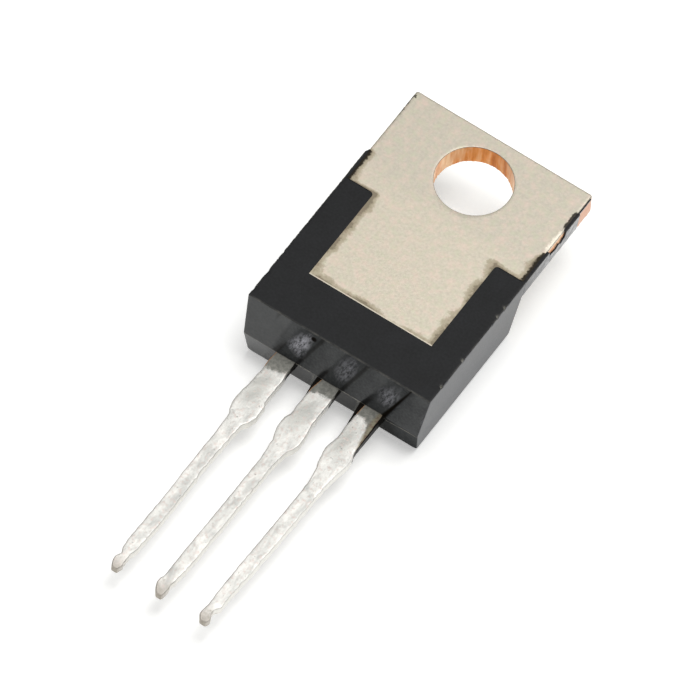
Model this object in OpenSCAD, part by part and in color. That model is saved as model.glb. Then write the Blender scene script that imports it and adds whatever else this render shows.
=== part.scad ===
// Three-lead power package of a voltage regulator: a copper tab with one
// screw hole, a moulded epoxy body and three stamped leads.
// The origin is the centre of the screw hole on the tab's back face.
// +Y points to the tab's free end, +Z out of the back face, and the leads
// run towards -Y. All sizes are in millimetres.

/* [Tab] */
// Width of the tab
tab_w = 10.16; // [9.8:0.02:10.6]
// Thickness of the copper
tab_t = 1.27; // [1.1:0.01:1.45]
// Hole centre to the tab's free end
tab_reach = 2.7; // [2.55:0.05:3.2]
// Hole centre to the edge of the moulding
tab_bare = 3.4; // [3:0.05:3.9]
// Diameter of the screw hole
hole_d = 3.9; // [3.4:0.05:4.1]
// Radius of the edge that the press rolled over on the back face
roll_r = 0.12; // [0.06:0.01:0.2]
// Radius of the tab's two free corners
tab_corner_r = 0.15; // [0.05:0.01:0.6]

/* [Pad under the chip] */
// Width of the bare copper between the two arms of resin
pad_w = 7; // [6.4:0.1:7.8]
// Length of the pad from the edge of the moulding
pad_len = 5.6; // [5.2:0.1:5.9]
// Radius where the pad meets the tab's shoulders
shoulder_r = 0.3; // [0.1:0.05:0.5]
// How far the coined lock step stands out under the resin
lock_w = 0.35; // [0.15:0.05:0.5]
// Thickness of the lock step
lock_t = 0.62; // [0.55:0.01:0.8]

/* [Moulded body] */
// Whole thickness, from the tab's back face to the moulded front face
body_t = 4.5; // [4.3:0.05:4.8]
// Length of the body along its parting line
body_len = 8.75; // [8.5:0.05:9.3]
// Resin over each side of the tab, which sets the body's width
side_skin = 0.12; // [0.08:0.01:0.2]
// Draft of the two long sides, in degrees
side_draft = 4.5; // [2:0.1:6]
// Draft of the end face behind the leads, in degrees
end_back_draft = 10.3; // [5:0.1:12]
// Draft of the end face in front of the leads, in degrees
end_front_draft = 10.3; // [5:0.1:12]
// Draft of the face towards the tab, in degrees
top_draft = 8; // [4:0.1:10]
// Radius of the edges round the front face
edge_r = 0.3; // [0.1:0.05:0.45]
// Diameter of the ejector mark on the front face
ejector_d = 1.8; // [1.2:0.1:2.6]
// Depth of the ejector mark
ejector_depth = 0.08; // [0.04:0.01:0.15]

/* [Leads] */
// Distance between the leads' centre lines
pitch = 2.54; // [2.4:0.02:2.7]
// Tab's back face to the leads' back face
lead_drop = 2.6; // [2.4:0.02:2.72]
// Thickness of the leads
lead_t = 0.5; // [0.4:0.01:0.6]
// Length of the leads outside the body
lead_len = 14.4; // [12.8:0.1:14.8]
// Width of a lead where it leaves the body
root_w = 1.08; // [0.95:0.01:1.15]
// Width of the soldered length near the body
wide_w = 1.24; // [1.18:0.02:1.34]
// Width over the cut ends of the dam bar
stub_w = 1.46; // [1.36:0.02:1.6]
// Width of the slim length
lead_w = 0.78; // [0.64:0.02:0.88]
// Bare length between the body and the solder
bare_len = 0.95; // [0.6:0.05:1.3]
// Body to the dam bar's near edge
stub_from = 2.65; // [2.2:0.05:2.9]
// Height of the dam bar's cut ends
stub_len = 1.05; // [0.8:0.05:1.3]
// Length of the shoulder down to the slim length
shoulder_len = 0.75; // [0.4:0.05:1]
// Length of the necked and rounded tip
tip_len = 1.3; // [1:0.05:1.6]
// Narrowest width of the tip's neck
neck_w = 0.5; // [0.4:0.02:0.6]

/* [Inside the body] */
// Slope of the centre lead where it steps down from the pad, in degrees
jog_angle = 50; // [44:1:58]
// Width of the bond post on each outer lead
post_w = 2.3; // [1.9:0.1:2.5]
// Length of the bond post
post_len = 1.1; // [0.9:0.05:1.3]
// Parting line to the bond post's inner end
post_reach = 2.25; // [2.15:0.05:2.35]
// How far a bond post sits outwards of its lead's centre line
post_shift = 0.04; // [0:0.01:0.1]
// Width of the chip
die_w = 2.4; // [2:0.1:3]
// Length of the chip
die_l = 2; // [1.6:0.1:2.2]
// Thickness of the chip
die_t = 0.28; // [0.2:0.01:0.36]
// Thickness of the solder under the chip
solder_t = 0.06; // [0.03:0.01:0.1]
// How far the solder shows round the chip
solder_margin = 0.12; // [0.05:0.01:0.2]
// Edge of the moulding to the chip's centre
die_from = 3.75; // [3.4:0.05:3.9]
// Diameter of the bond wires
wire_d = 0.15; // [0.1:0.01:0.2]
// Chip's edge to the wires' feet on it
wire_inset = 0.35; // [0.25:0.05:0.5]
// Solder's edge to the ground wire's foot on the pad
ground_gap = 0.45; // [0.35:0.05:0.5]
// Rise of a wire's loop as a share of its span
loop_rise = 0.36; // [0.28:0.01:0.4]

/* [Mould flash] */
// Length of the flash beside the tab, right side of the back view
flash_right = 4.78; // [3:0.02:5]
// Length of the flash beside the tab, left side of the back view
flash_left = 2.05; // [1:0.05:3]
// Start and length of the broken stretch on the right side
break_from = 2.12; // [1.5:0.02:2.4]
break_len = 1.38; // [1:0.02:1.5]
// How deep the broken stretch is chipped
break_depth = 0.5; // [0.2:0.05:0.7]
// Thickness of the fins of flash beside the leads
fin_t = 0.16; // [0.1:0.01:0.2]

/* [Hidden] */

eps = 0.01;
big = 20;

// places along Y
y_body = -tab_bare;                       // edge of the moulding
y_exit = y_body - body_len;               // parting line at the leads
y_back_end = y_exit + lead_drop * tan(end_back_draft);
y_front_end = y_exit + (body_t - lead_drop) * tan(end_front_draft);
y_front_top = y_body - (body_t - tab_t) * tan(top_draft);
y_pad = y_body - pad_len;                 // pad's end on the back face
y_lock = y_pad - lock_w;                  // copper's end inside the resin
y_die = y_body - die_from;
y_tip = y_exit - lead_len;

// widths
body_w = tab_w + 2 * side_skin;
front_w = body_w - 2 * body_t * tan(side_draft);

// levels along Z
z_chip = -tab_t - solder_t;               // chip's soldered face
z_chip_top = z_chip - die_t;              // chip's bonded face
z_lead = -lead_drop;                      // leads' back face
z_post = z_lead - lead_t;                 // leads' bonded face

// step of the centre lead
jog_top = -tab_t + lead_t;
y_jog = y_lock - 0.2;
jog_run = (jog_top - z_lead) / tan(jog_angle);
jog_miter = lead_t * tan(jog_angle / 2);

// bond posts
y_post = y_exit + post_reach;             // post's inner end
post_in = pitch - post_w / 2 + post_shift; // post's edge next to the centre
post_neck = post_len * 0.32;              // slope between post and lead
wire_foot_y = y_post - post_len * 0.42;
wire_foot = [wire_d * 2.27, wire_d * 1.33, wire_d * 0.8];

// Rounds corner p1 between its neighbours with n steps
function bend(p0, p1, p2, r, n = 5) =
    r <= 0 ? [p1] :
    let (u = (p0 - p1) / norm(p0 - p1), v = (p2 - p1) / norm(p2 - p1),
         half = acos(u * v) / 2, c = p1 + (u + v) / norm(u + v) * r / sin(half),
         s = p1 + u * r / tan(half) - c, e = p1 + v * r / tan(half) - c,
         a = atan2(s[1], s[0]), turn = (atan2(e[1], e[0]) - a + 900) % 360 - 180)
    [for (i = [0:n]) c + r * [cos(a + turn * i / n), sin(a + turn * i / n)]];

// Closed outline with a radius given for each corner as its third number
function rounded(pts) =
    let (k = len(pts), p = [for (q = pts) [q[0], q[1]]])
    [for (i = [0:k - 1]) each bend(p[(i + k - 1) % k], p[i], p[(i + 1) % k], pts[i][2])];

// Profile in Y and Z, carried along X and centred
module along_x(width) translate([-width / 2, 0, 0]) rotate([90, 0, 90])
    linear_extrude(width) children();

// Profile in X and Z, carried along Y from y0 to y1
module along_y(y0, y1) translate([0, y1, 0]) rotate([90, 0, 0])
    linear_extrude(y1 - y0) children();

// Outline in X and Y, carried along Z from z0 to z1
module along_z(z0, z1) translate([0, 0, z0]) linear_extrude(z1 - z0) children();

// ---------- leads ----------

// Half widths of a lead from the body to its tip, with their places along Y
function lead_half(y0) = [
    [root_w / 2, y0],
    [root_w / 2, y_exit - bare_len],
    [wide_w / 2, y_exit - bare_len - 0.12],
    [wide_w / 2, y_exit - stub_from + 0.1],
    [stub_w / 2, y_exit - stub_from - 0.05],
    [stub_w / 2, y_exit - stub_from - stub_len + 0.15],
    [wide_w / 2 - 0.04, y_exit - stub_from - stub_len - 0.05],
    [lead_w / 2, y_exit - stub_from - stub_len - shoulder_len],
    [lead_w / 2, y_tip + tip_len],
    [neck_w / 2, y_tip + tip_len * 0.66],
    [neck_w / 2 + 0.07, y_tip + tip_len * 0.44],
    [neck_w / 2 + 0.06, y_tip + tip_len * 0.2],
    [neck_w / 2 - 0.04, y_tip + 0.03],
    [neck_w / 2 - 0.1, y_tip]];

module lead_blade(x, y0) {
    h = lead_half(y0);
    along_z(z_post, z_lead) polygon(concat(
        [for (p = h) [x - p[0], p[1]]],
        [for (i = [len(h) - 1:-1:0]) [x + h[i][0], h[i][1]]]));
}

// Outer lead on one side (+1 or -1): blade and flat bond post in one strip
module outer_lead(side) {
    lead_blade(side * pitch, y_exit + eps);
    along_z(z_post, z_lead) polygon([for (p = [
        [post_in, y_post], [post_in + post_w, y_post],
        [post_in + post_w, y_post - post_len],
        [pitch + root_w / 2, y_post - post_len - post_neck],
        [pitch + root_w / 2, y_exit],
        [pitch - root_w / 2, y_exit],
        [pitch - root_w / 2, y_post - post_len - post_neck],
        [post_in, y_post - post_len]]) [side * p[0], p[1]]]);
}

module input_lead() color([0.84, 0.83, 0.80]) outer_lead(1);
module output_lead() color([0.84, 0.83, 0.80]) outer_lead(-1);

// ---------- tab, pad and centre lead, one stamping ----------

// Tab plate: its long sides and free end are rolled over on the back face
module tab_plate() difference() {
    intersection() {
        along_y(y_body, tab_reach) polygon(rounded([
            [-tab_w / 2, -tab_t, 0], [tab_w / 2, -tab_t, 0],
            [tab_w / 2, 0, roll_r], [-tab_w / 2, 0, roll_r]]));
        along_x(tab_w + 1) polygon(rounded([
            [y_body, -tab_t, 0], [tab_reach, -tab_t, 0],
            [tab_reach, 0, roll_r], [y_body, 0, 0]]));
        along_z(-tab_t - 1, 1) polygon(rounded([
            [-tab_w / 2, y_body, 0], [tab_w / 2, y_body, 0],
            [tab_w / 2, tab_reach, tab_corner_r], [-tab_w / 2, tab_reach, tab_corner_r]]));
    }
    translate([0, 0, -tab_t - 1]) cylinder(d = hole_d, h = tab_t + 2, $fn = 96);
}

// Pad with filleted shoulders and the coined step that the resin grips
module pad_plate() {
    along_z(-tab_t, 0) polygon([
        [-pad_w / 2, y_body + eps], [-pad_w / 2, y_pad],
        [pad_w / 2, y_pad], [pad_w / 2, y_body + eps]]);
    for (s = [-1, 1]) along_z(-tab_t, 0) polygon(concat(
        [[s * pad_w / 2 - s * 0.1, y_body + eps], [s * (pad_w / 2 + shoulder_r), y_body + eps]],
        [for (i = [0:6]) [s * (pad_w / 2 + shoulder_r * (1 - sin(i * 15))),
                          y_body - shoulder_r * (1 - cos(i * 15))]],
        [[s * pad_w / 2 - s * 0.1, y_body - shoulder_r]]));
    along_z(-tab_t, -tab_t + lock_t) polygon([
        [-pad_w / 2 - lock_w, y_body + eps], [-pad_w / 2 - lock_w, y_lock],
        [pad_w / 2 + lock_w, y_lock], [pad_w / 2 + lock_w, y_body + eps]]);
}

// Strip that steps down from the pad to the level of the leads
module centre_jog() along_x(root_w) polygon([
    [y_lock + 0.5, jog_top], [y_jog, jog_top],
    [y_jog - jog_run, z_lead], [y_exit, z_lead],
    [y_exit, z_post], [y_jog - jog_run + jog_miter, z_post],
    [y_jog + jog_miter, -tab_t], [y_lock + 0.5, -tab_t]]);

module tab_with_centre_lead() color([0.80, 0.77, 0.70]) {
    tab_plate();
    pad_plate();
    centre_jog();
    lead_blade(0, y_exit + eps);
}

// ---------- chip and wires ----------

module chip_solder() color([0.62, 0.62, 0.64])
    translate([-die_w / 2 - solder_margin, y_die - die_l / 2 - solder_margin, z_chip])
        cube([die_w + 2 * solder_margin, die_l + 2 * solder_margin, solder_t]);

module chip() color([0.28, 0.30, 0.36])
    translate([-die_w / 2, y_die - die_l / 2, z_chip_top]) cube([die_w, die_l, die_t]);

// Bond wire from p to q, each on a face that looks towards -Z: two pressed
// feet and one circular loop between them
module bond_wire(p, q) {
    run = norm([q[0] - p[0], q[1] - p[1]]);
    turn = atan2(q[1] - p[1], q[0] - p[0]);
    h0 = -p[2] + wire_foot[2] / 2;
    h1 = -q[2] + wire_foot[2] / 2;
    chord = norm([run, h1 - h0]);
    tilt = atan2(h1 - h0, run);
    half = 2 * atan(2 * loop_rise);
    r = chord / (2 * sin(half));
    translate([p[0], p[1], 0]) rotate([-90, 0, turn])
        translate([run / 2 + sin(tilt) * r * cos(half), (h0 + h1) / 2 - cos(tilt) * r * cos(half), 0])
            rotate([0, 0, 90 + tilt - half])
                rotate_extrude(angle = 2 * half, $fn = 64)
                    translate([r, 0]) circle(d = wire_d, $fn = 16);
    for (e = [p, q]) translate(e) rotate([0, 0, turn])
        translate([-wire_foot[0] / 2, -wire_foot[1] / 2, -wire_foot[2]]) cube(wire_foot);
}

wire_y = y_die - die_l / 2 + wire_inset;   // bond pads near the chip's edge
ground_y = y_die - die_l / 2 - solder_margin - ground_gap;
module input_wire() color([0.88, 0.88, 0.90])
    bond_wire([die_w * 0.32, wire_y, z_chip_top], [post_in + post_w * 0.41, wire_foot_y, z_post]);
module output_wire_1() color([0.88, 0.88, 0.90])
    bond_wire([-die_w * 0.36, wire_y, z_chip_top], [-post_in - post_w * 0.57, wire_foot_y, z_post]);
module output_wire_2() color([0.88, 0.88, 0.90])
    bond_wire([-die_w * 0.2, wire_y, z_chip_top], [-post_in - post_w * 0.3, wire_foot_y, z_post]);
module ground_wire() color([0.88, 0.88, 0.90])
    bond_wire([die_w * 0.04, wire_y, z_chip_top], [die_w * 0.04, ground_y, -tab_t]);

// ---------- moulded body ----------

// Drafted block: a side profile crossed with a tapered section
module body_block() intersection() {
    along_x(body_w + 1) polygon(rounded([
        [y_body, 0, 0], [y_body, -tab_t, 0],
        [y_front_top, -body_t, edge_r], [y_front_end, -body_t, edge_r],
        [y_exit, z_lead, 0], [y_back_end, 0, 0]]));
    along_y(y_exit - 1, y_body + 1) polygon(rounded([
        [body_w / 2, 0, 0], [front_w / 2, -body_t, edge_r],
        [-front_w / 2, -body_t, edge_r], [-body_w / 2, 0, 0]]));
}

// Thin skin that the mould left beside the tab, drafted as the body's sides
// are and chipped on the right
module side_flash() intersection() {
    along_y(y_body - 1, tab_reach) polygon([
        [body_w / 2, 0], [front_w / 2, -body_t], [-front_w / 2, -body_t], [-body_w / 2, 0]]);
    side_bars();
}

module side_bars() {
    wall = roll_r + side_skin;
    translate([-body_w / 2, y_body - 0.3, -tab_t]) cube([wall, flash_left + 0.3, tab_t]);
    difference() {
        translate([body_w / 2 - wall, y_body - 0.3, -tab_t])
            cube([wall, flash_right + 0.3, tab_t]);
        translate([body_w / 2 - wall - 1, y_body + break_from, -break_depth])
            cube([wall + 2, break_len, break_depth + 1]);
    }
}

// Fin of flash on one side of a lead, tapering to nothing
module lead_fin(x, side, reach) along_z(z_post, z_lead) polygon([
    [x + side * (root_w / 2 - 0.02), y_exit + 0.3],
    [x + side * (root_w / 2 + fin_t), y_exit + 0.3],
    [x + side * (root_w / 2 + fin_t), y_exit - reach * 0.35],
    [x + side * (root_w / 2 + fin_t * 0.3), y_exit - reach],
    [x + side * (root_w / 2 - 0.02), y_exit - reach]]);

module moulded_body() color([0.17, 0.17, 0.19]) difference() {
    union() {
        body_block();
        side_flash();
        lead_fin(0, -1, 0.7);
        lead_fin(pitch, -1, 0.9);
        lead_fin(pitch, 1, 0.9);
    }
    translate([0, (y_front_top + y_front_end) / 2, -body_t - 1])
        cylinder(d = ejector_d, h = 1 + ejector_depth, $fn = 64);
    tab_with_centre_lead();
    input_lead();
    output_lead();
    chip_solder();
    chip();
    input_wire();
    output_wire_1();
    output_wire_2();
    ground_wire();
}

moulded_body();
tab_with_centre_lead();
input_lead();
output_lead();
chip_solder();
chip();
input_wire();
output_wire_1();
output_wire_2();
ground_wire();
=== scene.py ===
import math

import bmesh
import bpy
import numpy as np
from mathutils import Matrix


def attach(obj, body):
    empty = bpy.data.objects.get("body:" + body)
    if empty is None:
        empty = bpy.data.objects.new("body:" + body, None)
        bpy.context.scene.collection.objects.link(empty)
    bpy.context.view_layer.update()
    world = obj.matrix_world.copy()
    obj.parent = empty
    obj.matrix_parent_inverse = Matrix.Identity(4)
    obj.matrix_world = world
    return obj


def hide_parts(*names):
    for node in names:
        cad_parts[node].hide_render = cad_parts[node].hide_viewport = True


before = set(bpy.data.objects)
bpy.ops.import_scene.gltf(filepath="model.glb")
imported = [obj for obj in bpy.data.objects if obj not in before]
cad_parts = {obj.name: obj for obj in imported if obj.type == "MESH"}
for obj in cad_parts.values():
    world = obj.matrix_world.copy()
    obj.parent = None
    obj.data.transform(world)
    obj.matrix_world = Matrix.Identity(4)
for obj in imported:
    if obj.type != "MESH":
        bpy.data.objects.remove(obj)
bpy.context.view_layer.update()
print("frame loaded with", len(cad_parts), "nodes")

# All sizes below are in millimetres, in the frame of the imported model: the
# origin is the centre of the screw hole on the tab's back face, +Y points to
# the tab's free end, +Z out of the back face, and the leads run towards -Y.
# The shapes turn into metres where a mesh is made.


def linear(hexText):
    # sRGB hex to linear: v / 12.92 below 0.04045, else ((v + 0.055) / 1.055) ^ 2.4
    parts = [int(hexText[i:i + 2], 16) / 255 for i in (1, 3, 5)]
    return tuple(v / 12.92 if v <= 0.04045 else ((v + 0.055) / 1.055) ** 2.4 for v in parts) + (1.0,)


def ease(t):
    # 0 below 0, 1 above 1, and 3 t^2 - 2 t^3 between
    t = np.clip(t, 0.0, 1.0)
    return t * t * (3 - 2 * t)


def ripple(u, v, length, seed, waves=10):
    # sum of sine waves in random directions, each between 0.6 and 1.8 times the length given,
    # divided so that it mostly stays between -1 and 1
    rng = np.random.default_rng(seed)
    total = 0.0
    for _ in range(waves):
        turn, size, phase = rng.uniform(0, 2 * np.pi), length * rng.uniform(0.6, 1.8), rng.uniform(0, 2 * np.pi)
        total = total + np.sin(2 * np.pi * (u * np.cos(turn) + v * np.sin(turn)) / size + phase)
    return total / math.sqrt(waves)


def jagged(t, step, seed):
    # random heights between -1 and 1 at every step along t, joined by straight lines
    rng = np.random.default_rng(seed)
    knots = np.arange(-40.0, 40.0, step)
    return np.interp(t, knots, rng.uniform(-1, 1, knots.size))


def gridFaces(rows, columns, wrapRows, wrapColumns, first=0):
    # face (i, j) joins points (i, j), (i+1, j), (i+1, j+1) and (i, j+1), counted round where a way is closed
    i = np.arange(rows if wrapRows else rows - 1)[:, None]
    j = np.arange(columns if wrapColumns else columns - 1)[None, :]
    i1, j1 = (i + 1) % rows, (j + 1) % columns
    corners = [i * columns + j, i1 * columns + j, i1 * columns + j1, i * columns + j1]
    return np.stack([c.ravel() for c in np.broadcast_arrays(*corners)], 1) + first


def buildPiece(name, grids, materials, sharpAngle=38):
    # grids: dictionaries with points (rows, columns, 3), wrap (rows, columns), slot and values per point
    points, faces, slots, values, first = [], [], [], {}, 0
    names = sorted({key for g in grids for key in g.get("values", {})})
    for g in grids:
        rows, columns = g["points"].shape[:2]
        flat = g["points"].reshape(-1, 3)
        quads = gridFaces(rows, columns, *g["wrap"], first)
        points.append(flat)
        faces.append(quads)
        slots.append(np.full(len(quads), 0) + np.asarray(g.get("slot", 0)))
        for key in names:
            given = g.get("values", {}).get(key, np.zeros((rows, columns)))
            values.setdefault(key, []).append(np.broadcast_to(given, (rows, columns)).ravel())
        first += len(flat)
    mesh = bpy.data.meshes.new(name)
    mesh.from_pydata((np.concatenate(points) / 1000).tolist(), [], np.concatenate(faces).tolist())
    mesh.polygons.foreach_set("material_index", np.concatenate(slots).astype(np.int32))
    for key in names:
        layer = mesh.attributes.new(key, "FLOAT", "POINT")
        layer.data.foreach_set("value", np.concatenate(values[key]).astype(np.float32))
    for material in materials:
        mesh.materials.append(material)
    shell = bmesh.new()
    shell.from_mesh(mesh)
    bmesh.ops.remove_doubles(shell, verts=shell.verts, dist=2e-7)
    bmesh.ops.dissolve_degenerate(shell, edges=shell.edges, dist=1e-8)
    bmesh.ops.recalc_face_normals(shell, faces=shell.faces)
    shell.to_mesh(mesh)
    shell.free()
    mesh.polygons.foreach_set("use_smooth", np.ones(len(mesh.polygons), bool))
    mesh.set_sharp_from_angle(angle=math.radians(sharpAngle))
    piece = bpy.data.objects.new(name, mesh)
    bpy.context.scene.collection.objects.link(piece)
    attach(piece, "root")
    print(name, len(mesh.polygons), "faces")
    return piece


def addNode(tree, kind, settings=None, links=None):
    # one node: settings name its options or its sockets, links name the sockets that are fed
    node = tree.nodes.new(kind)
    for key, value in (settings or {}).items():
        if key == "ramp":
            stops = node.color_ramp.elements
            while len(stops) < len(value):
                stops.new(1.0)
            for stop, (place, shade) in zip(stops, value):
                stop.position = place
                stop.color = linear(shade) if isinstance(shade, str) else (shade, shade, shade, 1)
        elif isinstance(key, str) and hasattr(node, key):
            setattr(node, key, value)
        else:
            node.inputs[key].default_value = value
    for key, source in (links or {}).items():
        tree.links.new(source, node.inputs[key])
    return node


def startMaterial(name, settings):
    # a new material with one Principled shader, and Object coordinates counted in millimetres
    material = bpy.data.materials.new(name)
    material.use_nodes = True
    tree = material.node_tree
    tree.nodes.clear()
    shader = addNode(tree, "ShaderNodeBsdfPrincipled", settings)
    addNode(tree, "ShaderNodeOutputMaterial", {}, {"Surface": shader.outputs[0]})
    place = addNode(tree, "ShaderNodeTexCoord").outputs["Object"]
    grid = addNode(tree, "ShaderNodeVectorMath", {"operation": "SCALE", "Scale": 1000.0}, {0: place}).outputs[0]
    return material, tree, shader, grid


cameraLook = {
    "azimuth": 28.139,            # degrees round from -Y towards +X
    "elevation": 57.669,
    "roll": 6.508,
    "distance": 578.75,           # to the point aimed at
    "aim": (0.0, -9.096, -4.519),
    "lens": 622.08,               # on a sensor 36 wide
    "pixelsPerMm": 20.900,
    "offset": (13.315, 11.603),   # where the aim shows, in pixels right and down of the middle
}


def makeCamera(look):
    az, el, roll = (math.radians(look[k]) for k in ("azimuth", "elevation", "roll"))
    back = np.array([math.sin(az) * math.cos(el), -math.cos(az) * math.cos(el), math.sin(el)])
    right = np.array([math.cos(az), math.sin(az), 0.0])
    up = np.cross(back, right)
    right, up = (math.cos(roll) * right + math.sin(roll) * up, math.cos(roll) * up - math.sin(roll) * right)
    place = np.array(look["aim"]) + back * look["distance"]
    dx, dy = (v / look["pixelsPerMm"] for v in look["offset"])
    back = place - (np.array(look["aim"]) - right * dx + up * dy)
    back /= np.linalg.norm(back)
    right = np.cross(up, back)
    right /= np.linalg.norm(right)
    up = np.cross(back, right)
    data = bpy.data.cameras.new("camera")
    data.lens, data.sensor_width, data.clip_start, data.clip_end = look["lens"], 36.0, 0.01, 20.0
    view = bpy.data.objects.new("camera", data)
    bpy.context.scene.collection.objects.link(view)
    matrix = np.eye(4)
    matrix[:3, 0], matrix[:3, 1], matrix[:3, 2], matrix[:3, 3] = right, up, back, place / 1000
    view.matrix_world = Matrix(matrix.tolist())
    bpy.context.scene.camera = view


makeCamera(cameraLook)
print("camera placed")


epoxyLook = {
    "back": "#040506", "backPale": "#191a1c", "side": "#2f3136", "sidePale": "#4b4d52",
    "skin": "#cacacb", "end": "#303234", "endPale": "#484a4b",
    "paintedReflectionLeft": "#6f7070", "paintedShadeBelow": "#1b1c1a", "wearAndHighlight": "#8f8c83", "scuffAndReflection": "#c6c6ce",
    "flash": "#15120e", "backRoughness": 0.6, "sideRoughness": 0.32, "endRoughness": 0.16,
    "sideSpecular": 0.29, "endSpecular": 0.22,
}


def makeEpoxy(look):
    # epoxy moulding compound, transfer moulded: the back face is near black and dull, the long
    # sides satin grey, and the end face behind the leads still mirrors them softly; painted light makes the sides and
    # the end paler than the back
    material, tree, shader, grid = startMaterial(
        "epoxyMouldingCompoundTransferMoulded", {"Metallic": 0.0, "IOR": 1.5})
    axes = addNode(tree, "ShaderNodeSeparateXYZ", {}, {0: grid}).outputs
    facing = addNode(tree, "ShaderNodeTexCoord").outputs["Normal"]
    facing = addNode(tree, "ShaderNodeSeparateXYZ", {}, {0: facing}).outputs
    isBack = addNode(tree, "ShaderNodeMapRange", {"From Min": 0.4, "From Max": 0.85}, {"Value": facing[2]}).outputs[0]
    isEnd = addNode(tree, "ShaderNodeMapRange", {"From Min": -0.5, "From Max": -0.85}, {"Value": facing[1]}).outputs[0]
    cloud = addNode(tree, "ShaderNodeTexNoise", {"Scale": 0.9, "Detail": 3.0}, {"Vector": grid}).outputs[0]
    grain = addNode(tree, "ShaderNodeTexNoise", {"Scale": 7.5, "Detail": 2.0, "Roughness": 0.6},
                    {"Vector": grid}).outputs[0]          # filler grains of 0.05, drawn at 0.13 so they show
    mottle = addNode(tree, "ShaderNodeMath", {"operation": "ADD"}, {0: cloud, 1: grain}).outputs[0]
    mottle = addNode(tree, "ShaderNodeMapRange", {"From Min": 0.7, "From Max": 1.3}, {"Value": mottle}).outputs[0]
    back = addNode(tree, "ShaderNodeMix", {"data_type": "RGBA", 6: linear(look["back"]), 7: linear(look["backPale"])},
                   {0: mottle}).outputs[2]
    side = addNode(tree, "ShaderNodeMix", {"data_type": "RGBA", 6: linear(look["side"]), 7: linear(look["sidePale"])},
                   {0: mottle}).outputs[2]
    skinSheenMask = addNode(tree, "ShaderNodeMapRange", {"From Min": -3.6, "From Max": -1.2, "To Max": 0.8},
                   {"Value": axes[1]}).outputs[0]         # the skin beside the tab is painted paler in blotches: a painted reflection of the white ground
    rubbed = addNode(tree, "ShaderNodeTexNoise", {"Scale": 2.6, "Detail": 4.0, "Roughness": 0.7},
                     {"Vector": grid}).outputs[0]
    rubbed = addNode(tree, "ShaderNodeMapRange", {"From Min": 0.42, "From Max": 0.56, "To Min": 0.3, "To Max": 1.0},
                     {"Value": rubbed}).outputs[0]
    skinSheenMask = addNode(tree, "ShaderNodeMath", {"operation": "MULTIPLY"}, {0: skinSheenMask, 1: rubbed}).outputs[0]
    side = addNode(tree, "ShaderNodeMix", {"data_type": "RGBA", 7: linear(look["skin"])},
                   {0: skinSheenMask, 6: side}).outputs[2]
    end = addNode(tree, "ShaderNodeMix", {"data_type": "RGBA", 6: linear(look["end"]), 7: linear(look["endPale"])},
                  {0: mottle}).outputs[2]
    drop = addNode(tree, "ShaderNodeMath", {"operation": "ADD", 1: 2.6}, {0: axes[2]}).outputs[0]
    band = addNode(tree, "ShaderNodeMath", {"operation": "MULTIPLY_ADD", 1: -0.298}, {0: drop, 2: axes[0]}).outputs[0]
    paintedReflectionLeft = addNode(tree, "ShaderNodeMapRange", {"From Min": -3.35, "From Max": -3.55, "To Max": 0.33},
                      {"Value": band}).outputs[0]         # painted reflection: the end face left of the leads is paler where it mirrors the bright ground
    end = addNode(tree, "ShaderNodeMix", {"data_type": "RGBA", 7: linear(look["paintedReflectionLeft"])},
                  {0: paintedReflectionLeft, 6: end}).outputs[2]
    between = addNode(tree, "ShaderNodeMath", {"operation": "SUBTRACT", 1: 0.35}, {0: axes[0]}).outputs[0]
    between = addNode(tree, "ShaderNodeMath", {"operation": "ABSOLUTE"}, {0: between}).outputs[0]
    between = addNode(tree, "ShaderNodeMapRange", {"From Min": 3.7, "From Max": 3.0}, {"Value": between}).outputs[0]
    under = addNode(tree, "ShaderNodeMapRange", {"From Max": -0.04, "To Max": 0.8}, {"Value": drop}).outputs[0]
    paintedShadeBelow = addNode(tree, "ShaderNodeMath", {"operation": "MULTIPLY"}, {0: between, 1: under}).outputs[0]
    end = addNode(tree, "ShaderNodeMix", {"data_type": "RGBA", 7: linear(look["paintedShadeBelow"])},
                  {0: paintedShadeBelow, 6: end}).outputs[2]          # painted shade: the lower end face between the leads is darkened where it mirrors the shadowed ground
    # painted light: each face takes its own tone by its normal, so the long sides and the end face come out paler than
    # the back
    tone = addNode(tree, "ShaderNodeMix", {"data_type": "RGBA"}, {0: isEnd, 6: side, 7: end}).outputs[2]
    tone = addNode(tree, "ShaderNodeMix", {"data_type": "RGBA"}, {0: isBack, 6: tone, 7: back}).outputs[2]
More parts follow.
